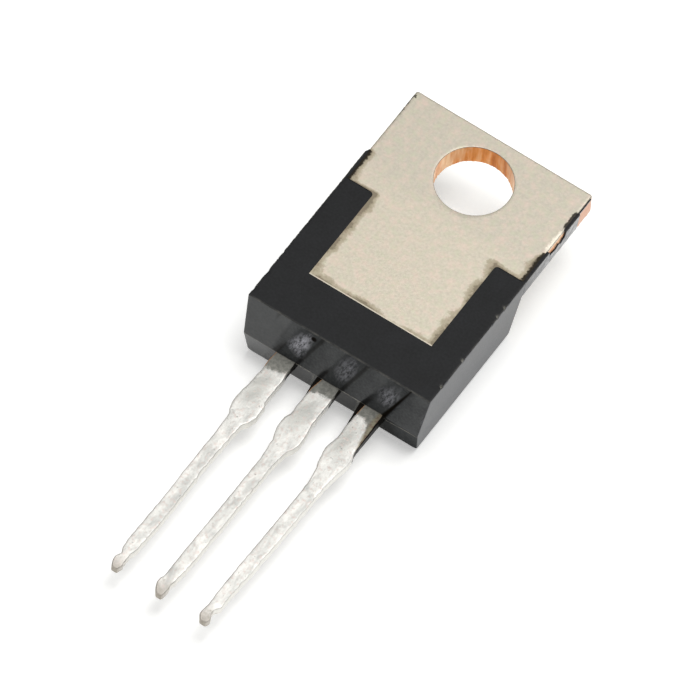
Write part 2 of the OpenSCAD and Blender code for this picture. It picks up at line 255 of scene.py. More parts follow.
    # pale lines, part wear and part painted highlight where edges catch the light: the parting ridge
    # level with the leads, which droops beside the right lead and stays lower there, and the edges round the back face
    past = addNode(tree, "ShaderNodeMapRange", {"From Min": 3.05, "From Max": 3.15}, {"Value": axes[0]}).outputs[0]
    droop = addNode(tree, "ShaderNodeMapRange", {"From Min": 3.2, "From Max": 4.2, "To Min": 0.36, "To Max": 0.22},
                    {"Value": axes[0]}).outputs[0]
    ridge = addNode(tree, "ShaderNodeMath", {"operation": "MULTIPLY_ADD"}, {0: past, 1: droop, 2: drop}).outputs[0]
    ridge = addNode(tree, "ShaderNodeMath", {"operation": "ABSOLUTE"}, {0: ridge}).outputs[0]
    nearEnd = addNode(tree, "ShaderNodeMapRange", {"From Min": -11.9, "From Max": -12.0}, {"Value": axes[1]}).outputs[0]
    ridge = addNode(tree, "ShaderNodeMapRange", {"From Min": 0.015, "From Max": 0.055, "To Min": 1.6, "To Max": 0.0},
                    {"Value": ridge}).outputs[0]
    ridge = addNode(tree, "ShaderNodeMath", {"operation": "MULTIPLY"}, {0: ridge, 1: nearEnd}).outputs[0]
    long = addNode(tree, "ShaderNodeMath", {"operation": "ABSOLUTE"}, {0: axes[0]}).outputs[0]
    long = addNode(tree, "ShaderNodeMath", {"operation": "SUBTRACT", 0: 5.2}, {1: long}).outputs[0]
    short = addNode(tree, "ShaderNodeMath", {"operation": "ADD", 1: 11.68}, {0: axes[1]}).outputs[0]
    short = addNode(tree, "ShaderNodeMath", {"operation": "ABSOLUTE"}, {0: short}).outputs[0]
    edge = addNode(tree, "ShaderNodeMath", {"operation": "MINIMUM"}, {0: long, 1: short}).outputs[0]
    edge = addNode(tree, "ShaderNodeMath", {"operation": "SUBTRACT"}, {0: edge, 1: axes[2]}).outputs[0]
    edge = addNode(tree, "ShaderNodeMapRange", {"From Min": 0.02, "From Max": 0.09, "To Min": 0.4, "To Max": 0.0},
                   {"Value": edge}).outputs[0]
    wearAndHighlight = addNode(tree, "ShaderNodeMath", {"operation": "MAXIMUM"}, {0: ridge, 1: edge}).outputs[0]
    # a pale line at the left of the two right leads, leaning as it goes down: a painted highlight on a small step in
    # the resin
    lean = addNode(tree, "ShaderNodeMath", {"operation": "MULTIPLY_ADD", 1: -0.187}, {0: drop, 2: axes[0]}).outputs[0]
    lean = addNode(tree, "ShaderNodeMath", {"operation": "ADD", 1: 0.93}, {0: lean}).outputs[0]
    lean = addNode(tree, "ShaderNodeMath", {"operation": "WRAP", 1: 1.27, 2: -1.27}, {0: lean}).outputs[0]
    lean = addNode(tree, "ShaderNodeMath", {"operation": "ABSOLUTE"}, {0: lean}).outputs[0]
    lean = addNode(tree, "ShaderNodeMapRange", {"From Min": 0.03, "From Max": 0.08, "To Min": 1.0, "To Max": 0.0},
                   {"Value": lean}).outputs[0]
    right = addNode(tree, "ShaderNodeMapRange", {"From Min": -2.0, "From Max": -1.9}, {"Value": axes[0]}).outputs[0]
    inside = addNode(tree, "ShaderNodeMapRange", {"From Min": 3.0, "From Max": 2.9}, {"Value": axes[0]}).outputs[0]
    for mask in (right, inside, isEnd, under):
        lean = addNode(tree, "ShaderNodeMath", {"operation": "MULTIPLY"}, {0: lean, 1: mask}).outputs[0]
    wearAndHighlight = addNode(tree, "ShaderNodeMath", {"operation": "MAXIMUM"}, {0: wearAndHighlight, 1: lean}).outputs[0]
    patchy = addNode(tree, "ShaderNodeTexNoise", {"Scale": 1.6, "Detail": 5.0, "Roughness": 0.7},
                     {"Vector": grid}).outputs[0]
    patchy = addNode(tree, "ShaderNodeMapRange", {"From Min": 0.46, "From Max": 0.66, "To Min": 0.2, "To Max": 0.8},
                     {"Value": patchy}).outputs[0]
    wearAndHighlight = addNode(tree, "ShaderNodeMath", {"operation": "MULTIPLY"}, {0: wearAndHighlight, 1: patchy}).outputs[0]
    nick = addNode(tree, "ShaderNodeAttribute", {"attribute_name": "nick"}).outputs["Fac"]
    wearAndHighlight = addNode(tree, "ShaderNodeMath", {"operation": "MAXIMUM"}, {0: wearAndHighlight, 1: nick}).outputs[0]
    tone = addNode(tree, "ShaderNodeMix", {"data_type": "RGBA", 7: linear(look["wearAndHighlight"])},
                   {0: wearAndHighlight, 6: tone}).outputs[2]
    # pale marks on the end face above each lead, strongest above the left one, part scuffs and part a painted
    # reflection of the lead:
    # streaks that lean 0.298 towards +X for every millimetre up, inside an oval patch
    beside = addNode(tree, "ShaderNodeMath", {"operation": "WRAP", 1: 1.27, 2: -1.27}, {0: band}).outputs[0]
    away = addNode(tree, "ShaderNodeCombineXYZ", {}, {0: beside, 2: axes[2]}).outputs[0]
    away = addNode(tree, "ShaderNodeVectorMath", {"operation": "MULTIPLY_ADD", 1: (2.0, 0.0, 1.15), 2: (-0.32, 0.0, 1.3)},
                   {0: away}).outputs[0]
    away = addNode(tree, "ShaderNodeVectorMath", {"operation": "LENGTH"}, {0: away}).outputs["Value"]
    away = addNode(tree, "ShaderNodeMath", {"operation": "MULTIPLY_ADD", 1: 1.4}, {0: cloud, 2: away}).outputs[0]
    patch = addNode(tree, "ShaderNodeMapRange", {"From Min": 1.95, "From Max": 1.2}, {"Value": away}).outputs[0]
    strong = addNode(tree, "ShaderNodeMapRange", {"From Min": -1.2, "From Max": -0.8, "To Min": 1.0, "To Max": 0.38},
                     {"Value": axes[0]}).outputs[0]
    near = addNode(tree, "ShaderNodeMapRange", {"From Min": -3.6, "From Max": -3.3}, {"Value": axes[0]}).outputs[0]
    streaks = addNode(tree, "ShaderNodeCombineXYZ", {}, {0: band, 2: axes[2]}).outputs[0]
    streaks = addNode(tree, "ShaderNodeVectorMath", {"operation": "MULTIPLY", 1: (2.6, 1.0, 1.0)},
                      {0: streaks}).outputs[0]
    scuffAndReflectionMask = addNode(tree, "ShaderNodeTexNoise", {"Scale": 2.2, "Detail": 5.0, "Roughness": 0.72},
                      {"Vector": streaks}).outputs[0]
    scuffAndReflectionMask = addNode(tree, "ShaderNodeMapRange", {"From Min": 0.41, "From Max": 0.58}, {"Value": scuffAndReflectionMask}).outputs[0]
    for mask in (patch, strong, near, isEnd):
        scuffAndReflectionMask = addNode(tree, "ShaderNodeMath", {"operation": "MULTIPLY"}, {0: scuffAndReflectionMask, 1: mask}).outputs[0]
    tone = addNode(tree, "ShaderNodeMix", {"data_type": "RGBA", 7: linear(look["scuffAndReflection"])},
                   {0: scuffAndReflectionMask, 6: tone}).outputs[2]
    # a round pit at the top of the left band, and a painted shadow: a black line that runs up from the right lead
    pit = addNode(tree, "ShaderNodeVectorMath", {"operation": "DISTANCE", 1: (-1.36, -11.74, -0.38)},
                  {0: grid}).outputs["Value"]
    pit = addNode(tree, "ShaderNodeMapRange", {"From Min": 0.19, "From Max": 0.11}, {"Value": pit}).outputs[0]
    steep = addNode(tree, "ShaderNodeMath", {"operation": "MULTIPLY_ADD", 1: -0.424}, {0: drop, 2: axes[0]}).outputs[0]
    paintedShadowLine = addNode(tree, "ShaderNodeMath", {"operation": "SUBTRACT", 1: 3.04}, {0: steep}).outputs[0]
    paintedShadowLine = addNode(tree, "ShaderNodeMath", {"operation": "ABSOLUTE"}, {0: paintedShadowLine}).outputs[0]
    paintedShadowLine = addNode(tree, "ShaderNodeMath", {"operation": "MULTIPLY_ADD", 1: 0.035}, {0: drop, 2: paintedShadowLine}).outputs[0]
    paintedShadowLine = addNode(tree, "ShaderNodeMapRange", {"From Min": 0.17, "From Max": 0.09}, {"Value": paintedShadowLine}).outputs[0]
    flash = addNode(tree, "ShaderNodeAttribute", {"attribute_name": "flash"}).outputs["Fac"]
    flash = addNode(tree, "ShaderNodeMath", {"operation": "MAXIMUM"}, {0: flash, 1: pit}).outputs[0]
    paintedShadowLine = addNode(tree, "ShaderNodeMath", {"operation": "MULTIPLY"}, {0: paintedShadowLine, 1: isEnd}).outputs[0]
    flash = addNode(tree, "ShaderNodeMath", {"operation": "MAXIMUM"}, {0: flash, 1: paintedShadowLine}).outputs[0]
    # painted reflection of the leads' shadows: dark bands beside the patches, to the top at the right of each, to half
    # the height at the left
    steep = addNode(tree, "ShaderNodeMath", {"operation": "WRAP", 1: 1.27, 2: -1.27}, {0: steep}).outputs[0]
    shadowReflectionBands = []
    for middle, half, top, full in ((-0.6, 0.15, 0.0, -0.1), (0.66, 0.19, -1.4, -2.1)):
        band = addNode(tree, "ShaderNodeMath", {"operation": "ADD", 1: middle}, {0: steep}).outputs[0]
        band = addNode(tree, "ShaderNodeMath", {"operation": "ABSOLUTE"}, {0: band}).outputs[0]
        band = addNode(tree, "ShaderNodeMapRange", {"From Min": half, "From Max": half - 0.1, "To Max": 0.6},
                       {"Value": band}).outputs[0]
        lower = addNode(tree, "ShaderNodeMapRange", {"From Min": top, "From Max": full}, {"Value": axes[2]}).outputs[0]
        shadowReflectionBands.append(addNode(tree, "ShaderNodeMath", {"operation": "MULTIPLY"}, {0: band, 1: lower}).outputs[0])
    shadowReflectionBands = addNode(tree, "ShaderNodeMath", {"operation": "MAXIMUM"}, {0: shadowReflectionBands[0], 1: shadowReflectionBands[1]}).outputs[0]
    above = addNode(tree, "ShaderNodeMapRange", {"From Min": -0.02, "From Max": 0.03}, {"Value": drop}).outputs[0]
    for mask in (above, near, inside, isEnd):
        shadowReflectionBands = addNode(tree, "ShaderNodeMath", {"operation": "MULTIPLY"}, {0: shadowReflectionBands, 1: mask}).outputs[0]
    flash = addNode(tree, "ShaderNodeMath", {"operation": "MAXIMUM"}, {0: flash, 1: shadowReflectionBands}).outputs[0]
    # this dark colour paints the resin fins and the pit, and also the painted shadow line and the dark reflection bands
    tone = addNode(tree, "ShaderNodeMix", {"data_type": "RGBA", 7: linear(look["flash"])},
                   {0: flash, 6: tone}).outputs[2]
    tree.links.new(tone, shader.inputs["Base Color"])
    rough = addNode(tree, "ShaderNodeMapRange", {"To Min": look["sideRoughness"], "To Max": look["endRoughness"]},
                    {"Value": isEnd}).outputs[0]
    rough = addNode(tree, "ShaderNodeMix", {"data_type": "FLOAT", 3: look["backRoughness"]},
                    {0: isBack, 2: rough}).outputs[0]
    uneven = addNode(tree, "ShaderNodeMapRange", {"To Min": -0.05, "To Max": 0.05}, {"Value": cloud}).outputs[0]
    rough = addNode(tree, "ShaderNodeMath", {"operation": "ADD"}, {0: rough, 1: uneven}).outputs[0]
    tree.links.new(rough, shader.inputs["Roughness"])
    gloss = addNode(tree, "ShaderNodeMapRange", {"To Min": look["sideSpecular"], "To Max": look["endSpecular"]},
                    {"Value": isEnd}).outputs[0]
    matt = addNode(tree, "ShaderNodeMapRange", {"To Min": 1.0, "To Max": 0.15}, {"Value": flash}).outputs[0]
    gloss = addNode(tree, "ShaderNodeMath", {"operation": "MULTIPLY"}, {0: gloss, 1: matt}).outputs[0]
    # the front half's end mirrors the ground less and less towards the right
    damped = addNode(tree, "ShaderNodeMapRange", {"From Min": -4.0, "From Max": 3.0, "To Max": 0.95},
                     {"Value": axes[0]}).outputs[0]
    for mask in (under, isEnd):
        damped = addNode(tree, "ShaderNodeMath", {"operation": "MULTIPLY"}, {0: damped, 1: mask}).outputs[0]
    damped = addNode(tree, "ShaderNodeMapRange", {"From Max": 0.8, "To Min": 1.0, "To Max": 0.0},
                     {"Value": damped}).outputs[0]
    gloss = addNode(tree, "ShaderNodeMath", {"operation": "MULTIPLY"}, {0: gloss, 1: damped}).outputs[0]
    tree.links.new(gloss, shader.inputs["Specular IOR Level"])
    depth = addNode(tree, "ShaderNodeMapRange", {"To Min": 0.5, "To Max": 0.1}, {"Value": isEnd}).outputs[0]
    bump = addNode(tree, "ShaderNodeBump", {"Distance": 8e-6}, {"Height": grain, "Strength": depth}).outputs[0]
    tree.links.new(bump, shader.inputs["Normal"])
    return material


nickelLook = {
    "upper": "#c1baac", "lower": "#c8c0b0", "fleck": "#a69f92", "blush": "#d3bdb0", "olive": "#babba3",
    "bleed": "#aaa08a", "bleedRim": "#978c75", "bleedRoot": "#675a43", "film": "#1d1a15", "clean": "#ddd5c6",
    "copper": "#dd8f4a", "copperDark": "#c1702f", "copperPale": "#f6cca0", "copperDull": "#cfa48e",
    "padHalf": 3.5, "padEnd": -9.0, "armTop": -3.4,
}


def makeNickel(look):
    # matte nickel plated on rolled copper strip before it was punched: warm pale grey with a
    # fine sanded grain; the resin bled a thin khaki film over it along the moulding, and the
    # punched walls are bare copper, which the value named bare marks on the mesh
    material, tree, shader, grid = startMaterial("matteNickelPlatedCopperPunched", {"Metallic": 1.0})
    axes = addNode(tree, "ShaderNodeSeparateXYZ", {}, {0: grid}).outputs
    cloud = addNode(tree, "ShaderNodeTexNoise", {"Scale": 0.55, "Detail": 3.0}, {"Vector": grid}).outputs[0]
    grain = addNode(tree, "ShaderNodeTexNoise", {"Scale": 6.5, "Detail": 3.0, "Roughness": 0.65},
                    {"Vector": grid}).outputs[0]
    # tone: the pad's lower part is paler than the tab round the hole
    down = addNode(tree, "ShaderNodeMath", {"operation": "MULTIPLY_ADD", 1: 1.6}, {0: cloud, 2: axes[1]}).outputs[0]
    down = addNode(tree, "ShaderNodeMapRange", {"From Min": -1.1, "From Max": -2.3, "To Min": 0.0, "To Max": 1.0},
                   {"Value": down}).outputs[0]
    tone = addNode(tree, "ShaderNodeMix", {"data_type": "RGBA", 6: linear(look["upper"]), 7: linear(look["lower"])},
                   {0: down}).outputs[2]
    fleck = addNode(tree, "ShaderNodeMapRange", {"From Min": 0.3, "From Max": 0.75, "To Min": 0.0, "To Max": 0.5},
                    {"Value": grain}).outputs[0]
    tone = addNode(tree, "ShaderNodeMix", {"data_type": "RGBA", 7: linear(look["fleck"])},
                   {0: fleck, 6: tone}).outputs[2]
    for place, name in ((1.9, "blush"), (2.7, "olive")):      # faint warm and green blotches of tarnish
        blotch = addNode(tree, "ShaderNodeTexNoise", {"Scale": place, "Detail": 4.0, "Roughness": 0.65},
                         {"Vector": grid}).outputs[0]
        blotch = addNode(tree, "ShaderNodeMapRange", {"From Min": 0.45, "From Max": 0.7, "To Max": 0.6},
                         {"Value": blotch}).outputs[0]
        tone = addNode(tree, "ShaderNodeMix", {"data_type": "RGBA", 7: linear(look[name])},
                       {0: blotch, 6: tone}).outputs[2]
    # distance from the moulding: to the arms beside the pad, and to the resin behind it
    across = addNode(tree, "ShaderNodeMath", {"operation": "ABSOLUTE"}, {0: axes[0]}).outputs[0]
    toArm = addNode(tree, "ShaderNodeMath", {"operation": "SUBTRACT", 0: look["padHalf"]}, {1: across}).outputs[0]
    toArm = addNode(tree, "ShaderNodeMath", {"operation": "MAXIMUM", 1: 0.0}, {0: toArm}).outputs[0]
    overArm = addNode(tree, "ShaderNodeMath", {"operation": "SUBTRACT", 1: look["armTop"]}, {0: axes[1]}).outputs[0]
    overArm = addNode(tree, "ShaderNodeMath", {"operation": "MAXIMUM", 1: 0.0}, {0: overArm}).outputs[0]
    narrow = addNode(tree, "ShaderNodeMapRange", {"From Min": -1.0, "To Min": 3.2, "To Max": 1.5},
                     {"Value": axes[0]}).outputs[0]       # narrower over the left arm
    overArm = addNode(tree, "ShaderNodeMath", {"operation": "MULTIPLY"}, {0: overArm, 1: narrow}).outputs[0]
    corner = addNode(tree, "ShaderNodeCombineXYZ", {}, {0: toArm, 1: overArm}).outputs[0]
    toArm = addNode(tree, "ShaderNodeVectorMath", {"operation": "LENGTH"}, {0: corner}).outputs["Value"]
    toEnd = addNode(tree, "ShaderNodeMath", {"operation": "SUBTRACT", 1: look["padEnd"]}, {0: axes[1]}).outputs[0]
    clean = addNode(tree, "ShaderNodeMapRange", {"From Min": 0.04, "From Max": 0.08}, {"Value": toEnd}).outputs[0]
    toEnd = addNode(tree, "ShaderNodeMath", {"operation": "MULTIPLY", 1: 1.25}, {0: toEnd}).outputs[0]
    reach = addNode(tree, "ShaderNodeMath", {"operation": "MINIMUM"}, {0: toArm, 1: toEnd}).outputs[0]
    # the skin beside the tab bleeds too, up to where it is broken
    toSkin = addNode(tree, "ShaderNodeMath", {"operation": "SUBTRACT", 0: 4.98}, {1: across}).outputs[0]
    past = addNode(tree, "ShaderNodeMath", {"operation": "SUBTRACT", 1: -1.5}, {0: axes[1]}).outputs[0]
    past = addNode(tree, "ShaderNodeMath", {"operation": "MAXIMUM", 1: 0.0}, {0: past}).outputs[0]
    toSkin = addNode(tree, "ShaderNodeMath", {"operation": "MULTIPLY_ADD", 1: 2.0}, {0: past, 2: toSkin}).outputs[0]
    reach = addNode(tree, "ShaderNodeMath", {"operation": "MINIMUM"}, {0: reach, 1: toSkin}).outputs[0]
    broad = addNode(tree, "ShaderNodeTexNoise", {"Scale": 0.75, "Detail": 1.0}, {"Vector": grid}).outputs[0]
    fine = addNode(tree, "ShaderNodeTexNoise", {"Scale": 4.0, "Detail": 5.0, "Roughness": 0.7},
                   {"Vector": grid}).outputs[0]
    broad = addNode(tree, "ShaderNodeMapRange", {"From Min": 0.3, "From Max": 0.7, "To Min": 0.2, "To Max": -0.2},
                    {"Value": broad}).outputs[0]
    reach = addNode(tree, "ShaderNodeMath", {"operation": "ADD"}, {0: reach, 1: broad}).outputs[0]
    field = addNode(tree, "ShaderNodeMapRange", {"To Min": 0.34, "To Max": -0.34}, {"Value": fine}).outputs[0]
    field = addNode(tree, "ShaderNodeMath", {"operation": "ADD"}, {0: reach, 1: field}).outputs[0]
    bleed = addNode(tree, "ShaderNodeValToRGB", {"ramp": [
        (0.0, look["bleedRoot"]), (0.07, look["bleedRim"]), (0.18, look["bleed"]), (0.36, look["bleedRim"])]},
        {0: field}).outputs[0]
    speckled = addNode(tree, "ShaderNodeMath", {"operation": "MULTIPLY_ADD", 1: 0.12}, {0: grain, 2: field}).outputs[0]
    cover = addNode(tree, "ShaderNodeMapRange", {"From Min": 0.27, "From Max": 0.41, "To Min": 0.78, "To Max": 0.0},
                    {"Value": speckled}).outputs[0]
    onFace = addNode(tree, "ShaderNodeMapRange", {"From Min": -0.3, "From Max": -0.2, "To Min": 0.0, "To Max": 0.9},
                     {"Value": axes[2]}).outputs[0]
    cover = addNode(tree, "ShaderNodeMath", {"operation": "MULTIPLY"}, {0: cover, 1: onFace}).outputs[0]
    cover = addNode(tree, "ShaderNodeMath", {"operation": "MULTIPLY"}, {0: cover, 1: clean}).outputs[0]
    tone = addNode(tree, "ShaderNodeMix", {"data_type": "RGBA"}, {0: cover, 6: tone, 7: bleed}).outputs[2]
    # next to the skin itself the film is thick enough to be black
    thick = addNode(tree, "ShaderNodeMapRange", {"To Min": 0.16, "To Max": -0.16}, {"Value": fine}).outputs[0]
    thick = addNode(tree, "ShaderNodeMath", {"operation": "ADD"}, {0: thick, 1: toSkin}).outputs[0]
    thick = addNode(tree, "ShaderNodeMapRange", {"From Min": 0.12, "From Max": 0.05}, {"Value": thick}).outputs[0]
    lap = addNode(tree, "ShaderNodeMath", {"operation": "MULTIPLY_ADD", 1: 0.3}, {0: fine, 2: axes[0]}).outputs[0]
    lap = addNode(tree, "ShaderNodeMapRange", {"From Min": 5.03, "From Max": 5.08}, {"Value": lap}).outputs[0]
    beyond = addNode(tree, "ShaderNodeMath", {"operation": "SUBTRACT", 1: 0.72}, {0: axes[1]}).outputs[0]
    beyond = addNode(tree, "ShaderNodeMath", {"operation": "ABSOLUTE"}, {0: beyond}).outputs[0]
    beyond = addNode(tree, "ShaderNodeMapRange", {"From Min": 0.72, "From Max": 0.62}, {"Value": beyond}).outputs[0]
    lap = addNode(tree, "ShaderNodeMath", {"operation": "MULTIPLY"}, {0: lap, 1: beyond}).outputs[0]
    thick = addNode(tree, "ShaderNodeMath", {"operation": "MAXIMUM"}, {0: thick, 1: lap}).outputs[0]
    # brown dashes of it cling to the left edge near the free end
    cling = addNode(tree, "ShaderNodeMath", {"operation": "MULTIPLY_ADD", 1: -1.0}, {0: fine, 2: axes[0]}).outputs[0]
    cling = addNode(tree, "ShaderNodeMapRange", {"From Min": -5.5, "From Max": -5.56}, {"Value": cling}).outputs[0]
    beyond = addNode(tree, "ShaderNodeMapRange", {"From Min": 0.9, "From Max": 1.3}, {"Value": axes[1]}).outputs[0]
    cling = addNode(tree, "ShaderNodeMath", {"operation": "MULTIPLY"}, {0: cling, 1: beyond}).outputs[0]
    cling = addNode(tree, "ShaderNodeMath", {"operation": "MULTIPLY", 1: 0.85}, {0: cling}).outputs[0]
    thick = addNode(tree, "ShaderNodeMath", {"operation": "MAXIMUM"}, {0: thick, 1: cling}).outputs[0]
    thick = addNode(tree, "ShaderNodeMath", {"operation": "MULTIPLY"}, {0: thick, 1: onFace}).outputs[0]
    tone = addNode(tree, "ShaderNodeMix", {"data_type": "RGBA", 7: linear(look["film"])},
                   {0: thick, 6: tone}).outputs[2]
    cover = addNode(tree, "ShaderNodeMath", {"operation": "MAXIMUM"}, {0: cover, 1: thick}).outputs[0]
    # a pale strip where the skin beside the tab broke away: clean nickel, with a painted highlight for the glints on
    # the burr
    cleanStripAndGlint = addNode(tree, "ShaderNodeMath", {"operation": "MULTIPLY_ADD", 1: 0.5}, {0: fine, 2: axes[0]}).outputs[0]
    cleanStripAndGlint = addNode(tree, "ShaderNodeMapRange", {"From Min": 5.1, "From Max": 5.18, "To Max": 0.8},
                    {"Value": cleanStripAndGlint}).outputs[0]
    along = addNode(tree, "ShaderNodeMath", {"operation": "ADD", 1: 0.5}, {0: axes[1]}).outputs[0]
    along = addNode(tree, "ShaderNodeMath", {"operation": "ABSOLUTE"}, {0: along}).outputs[0]
    along = addNode(tree, "ShaderNodeMapRange", {"From Min": 0.85, "From Max": 0.7}, {"Value": along}).outputs[0]
    cleanStripAndGlint = addNode(tree, "ShaderNodeMath", {"operation": "MULTIPLY"}, {0: cleanStripAndGlint, 1: along}).outputs[0]
    tone = addNode(tree, "ShaderNodeMix", {"data_type": "RGBA", 7: linear(look["clean"])},
                   {0: cleanStripAndGlint, 6: tone}).outputs[2]
    # bare copper, streaked along the punch's stroke
    streakPlace = addNode(tree, "ShaderNodeVectorMath", {"operation": "MULTIPLY", 1: (2.6, 2.6, 0.35)},
                          {0: grid}).outputs[0]
    streak = addNode(tree, "ShaderNodeTexNoise", {"Scale": 1.0, "Detail": 3.0}, {"Vector": streakPlace}).outputs[0]
    paintedSideSheen = addNode(tree, "ShaderNodeMapRange", {"From Max": 2.0, "To Min": -0.05, "To Max": 0.13},
                       {"Value": across}).outputs[0]      # painted light: the wall is drawn paler towards the hole's sides
    streak = addNode(tree, "ShaderNodeMath", {"operation": "ADD"}, {0: streak, 1: paintedSideSheen}).outputs[0]
    copper = addNode(tree, "ShaderNodeValToRGB", {"ramp": [
        (0.32, look["copperDark"]), (0.48, look["copper"]), (0.74, look["copperPale"])]}, {0: streak}).outputs[0]
    outside = addNode(tree, "ShaderNodeMapRange", {"From Min": 4.6, "From Max": 4.9, "To Max": 0.85},
                      {"Value": across}).outputs[0]
    weathered = addNode(tree, "ShaderNodeMapRange", {"From Min": 0.2, "From Max": 1.2, "To Min": 0.25},
                        {"Value": axes[1]}).outputs[0]
    outside = addNode(tree, "ShaderNodeMath", {"operation": "MULTIPLY"}, {0: outside, 1: weathered}).outputs[0]
    copper = addNode(tree, "ShaderNodeMix", {"data_type": "RGBA", 7: linear(look["copperDull"])},
                     {0: outside, 6: copper}).outputs[2]
    bare = addNode(tree, "ShaderNodeAttribute", {"attribute_name": "bare"}).outputs["Fac"]
    ragged = addNode(tree, "ShaderNodeMapRange", {"To Min": -0.35, "To Max": 0.35}, {"Value": fine}).outputs[0]
    bare = addNode(tree, "ShaderNodeMath", {"operation": "ADD"}, {0: bare, 1: ragged}).outputs[0]
    bare = addNode(tree, "ShaderNodeMapRange", {"From Min": 0.45, "From Max": 0.6}, {"Value": bare}).outputs[0]
    tone = addNode(tree, "ShaderNodeMix", {"data_type": "RGBA"}, {0: bare, 6: tone, 7: copper}).outputs[2]
    tree.links.new(tone, shader.inputs["Base Color"])
    rough = addNode(tree, "ShaderNodeMapRange", {"To Min": 0.42, "To Max": 0.56}, {"Value": grain}).outputs[0]
    rough = addNode(tree, "ShaderNodeMath", {"operation": "MULTIPLY_ADD", 1: -0.12}, {0: bare, 2: rough}).outputs[0]
    rough = addNode(tree, "ShaderNodeMath", {"operation": "MULTIPLY_ADD", 1: 0.15}, {0: cover, 2: rough}).outputs[0]
    tree.links.new(rough, shader.inputs["Roughness"])
    high = addNode(tree, "ShaderNodeMath", {"operation": "MULTIPLY_ADD", 1: 0.6}, {0: streak, 2: grain}).outputs[0]
    bump = addNode(tree, "ShaderNodeBump", {"Strength": 0.5, "Distance": 6e-6}, {"Height": high}).outputs[0]
    tree.links.new(bump, shader.inputs["Normal"])
    return material


solderLook = {
    "bright": "#e6e4df", "mid": "#d6d5d0", "grey": "#b8b8b4", "greyPatch": "#b0b0aa", "blush": "#cdbbb3",
    "edge": "#e8e6e1", "rust": "#72543a", "tip": "#9f968b", "speck": "#85837d", "root": "#929189", "rootDark": "#72726c", "rootEdge": "#b98350",
    "stain": "#191510", "film": "#867e63",
}


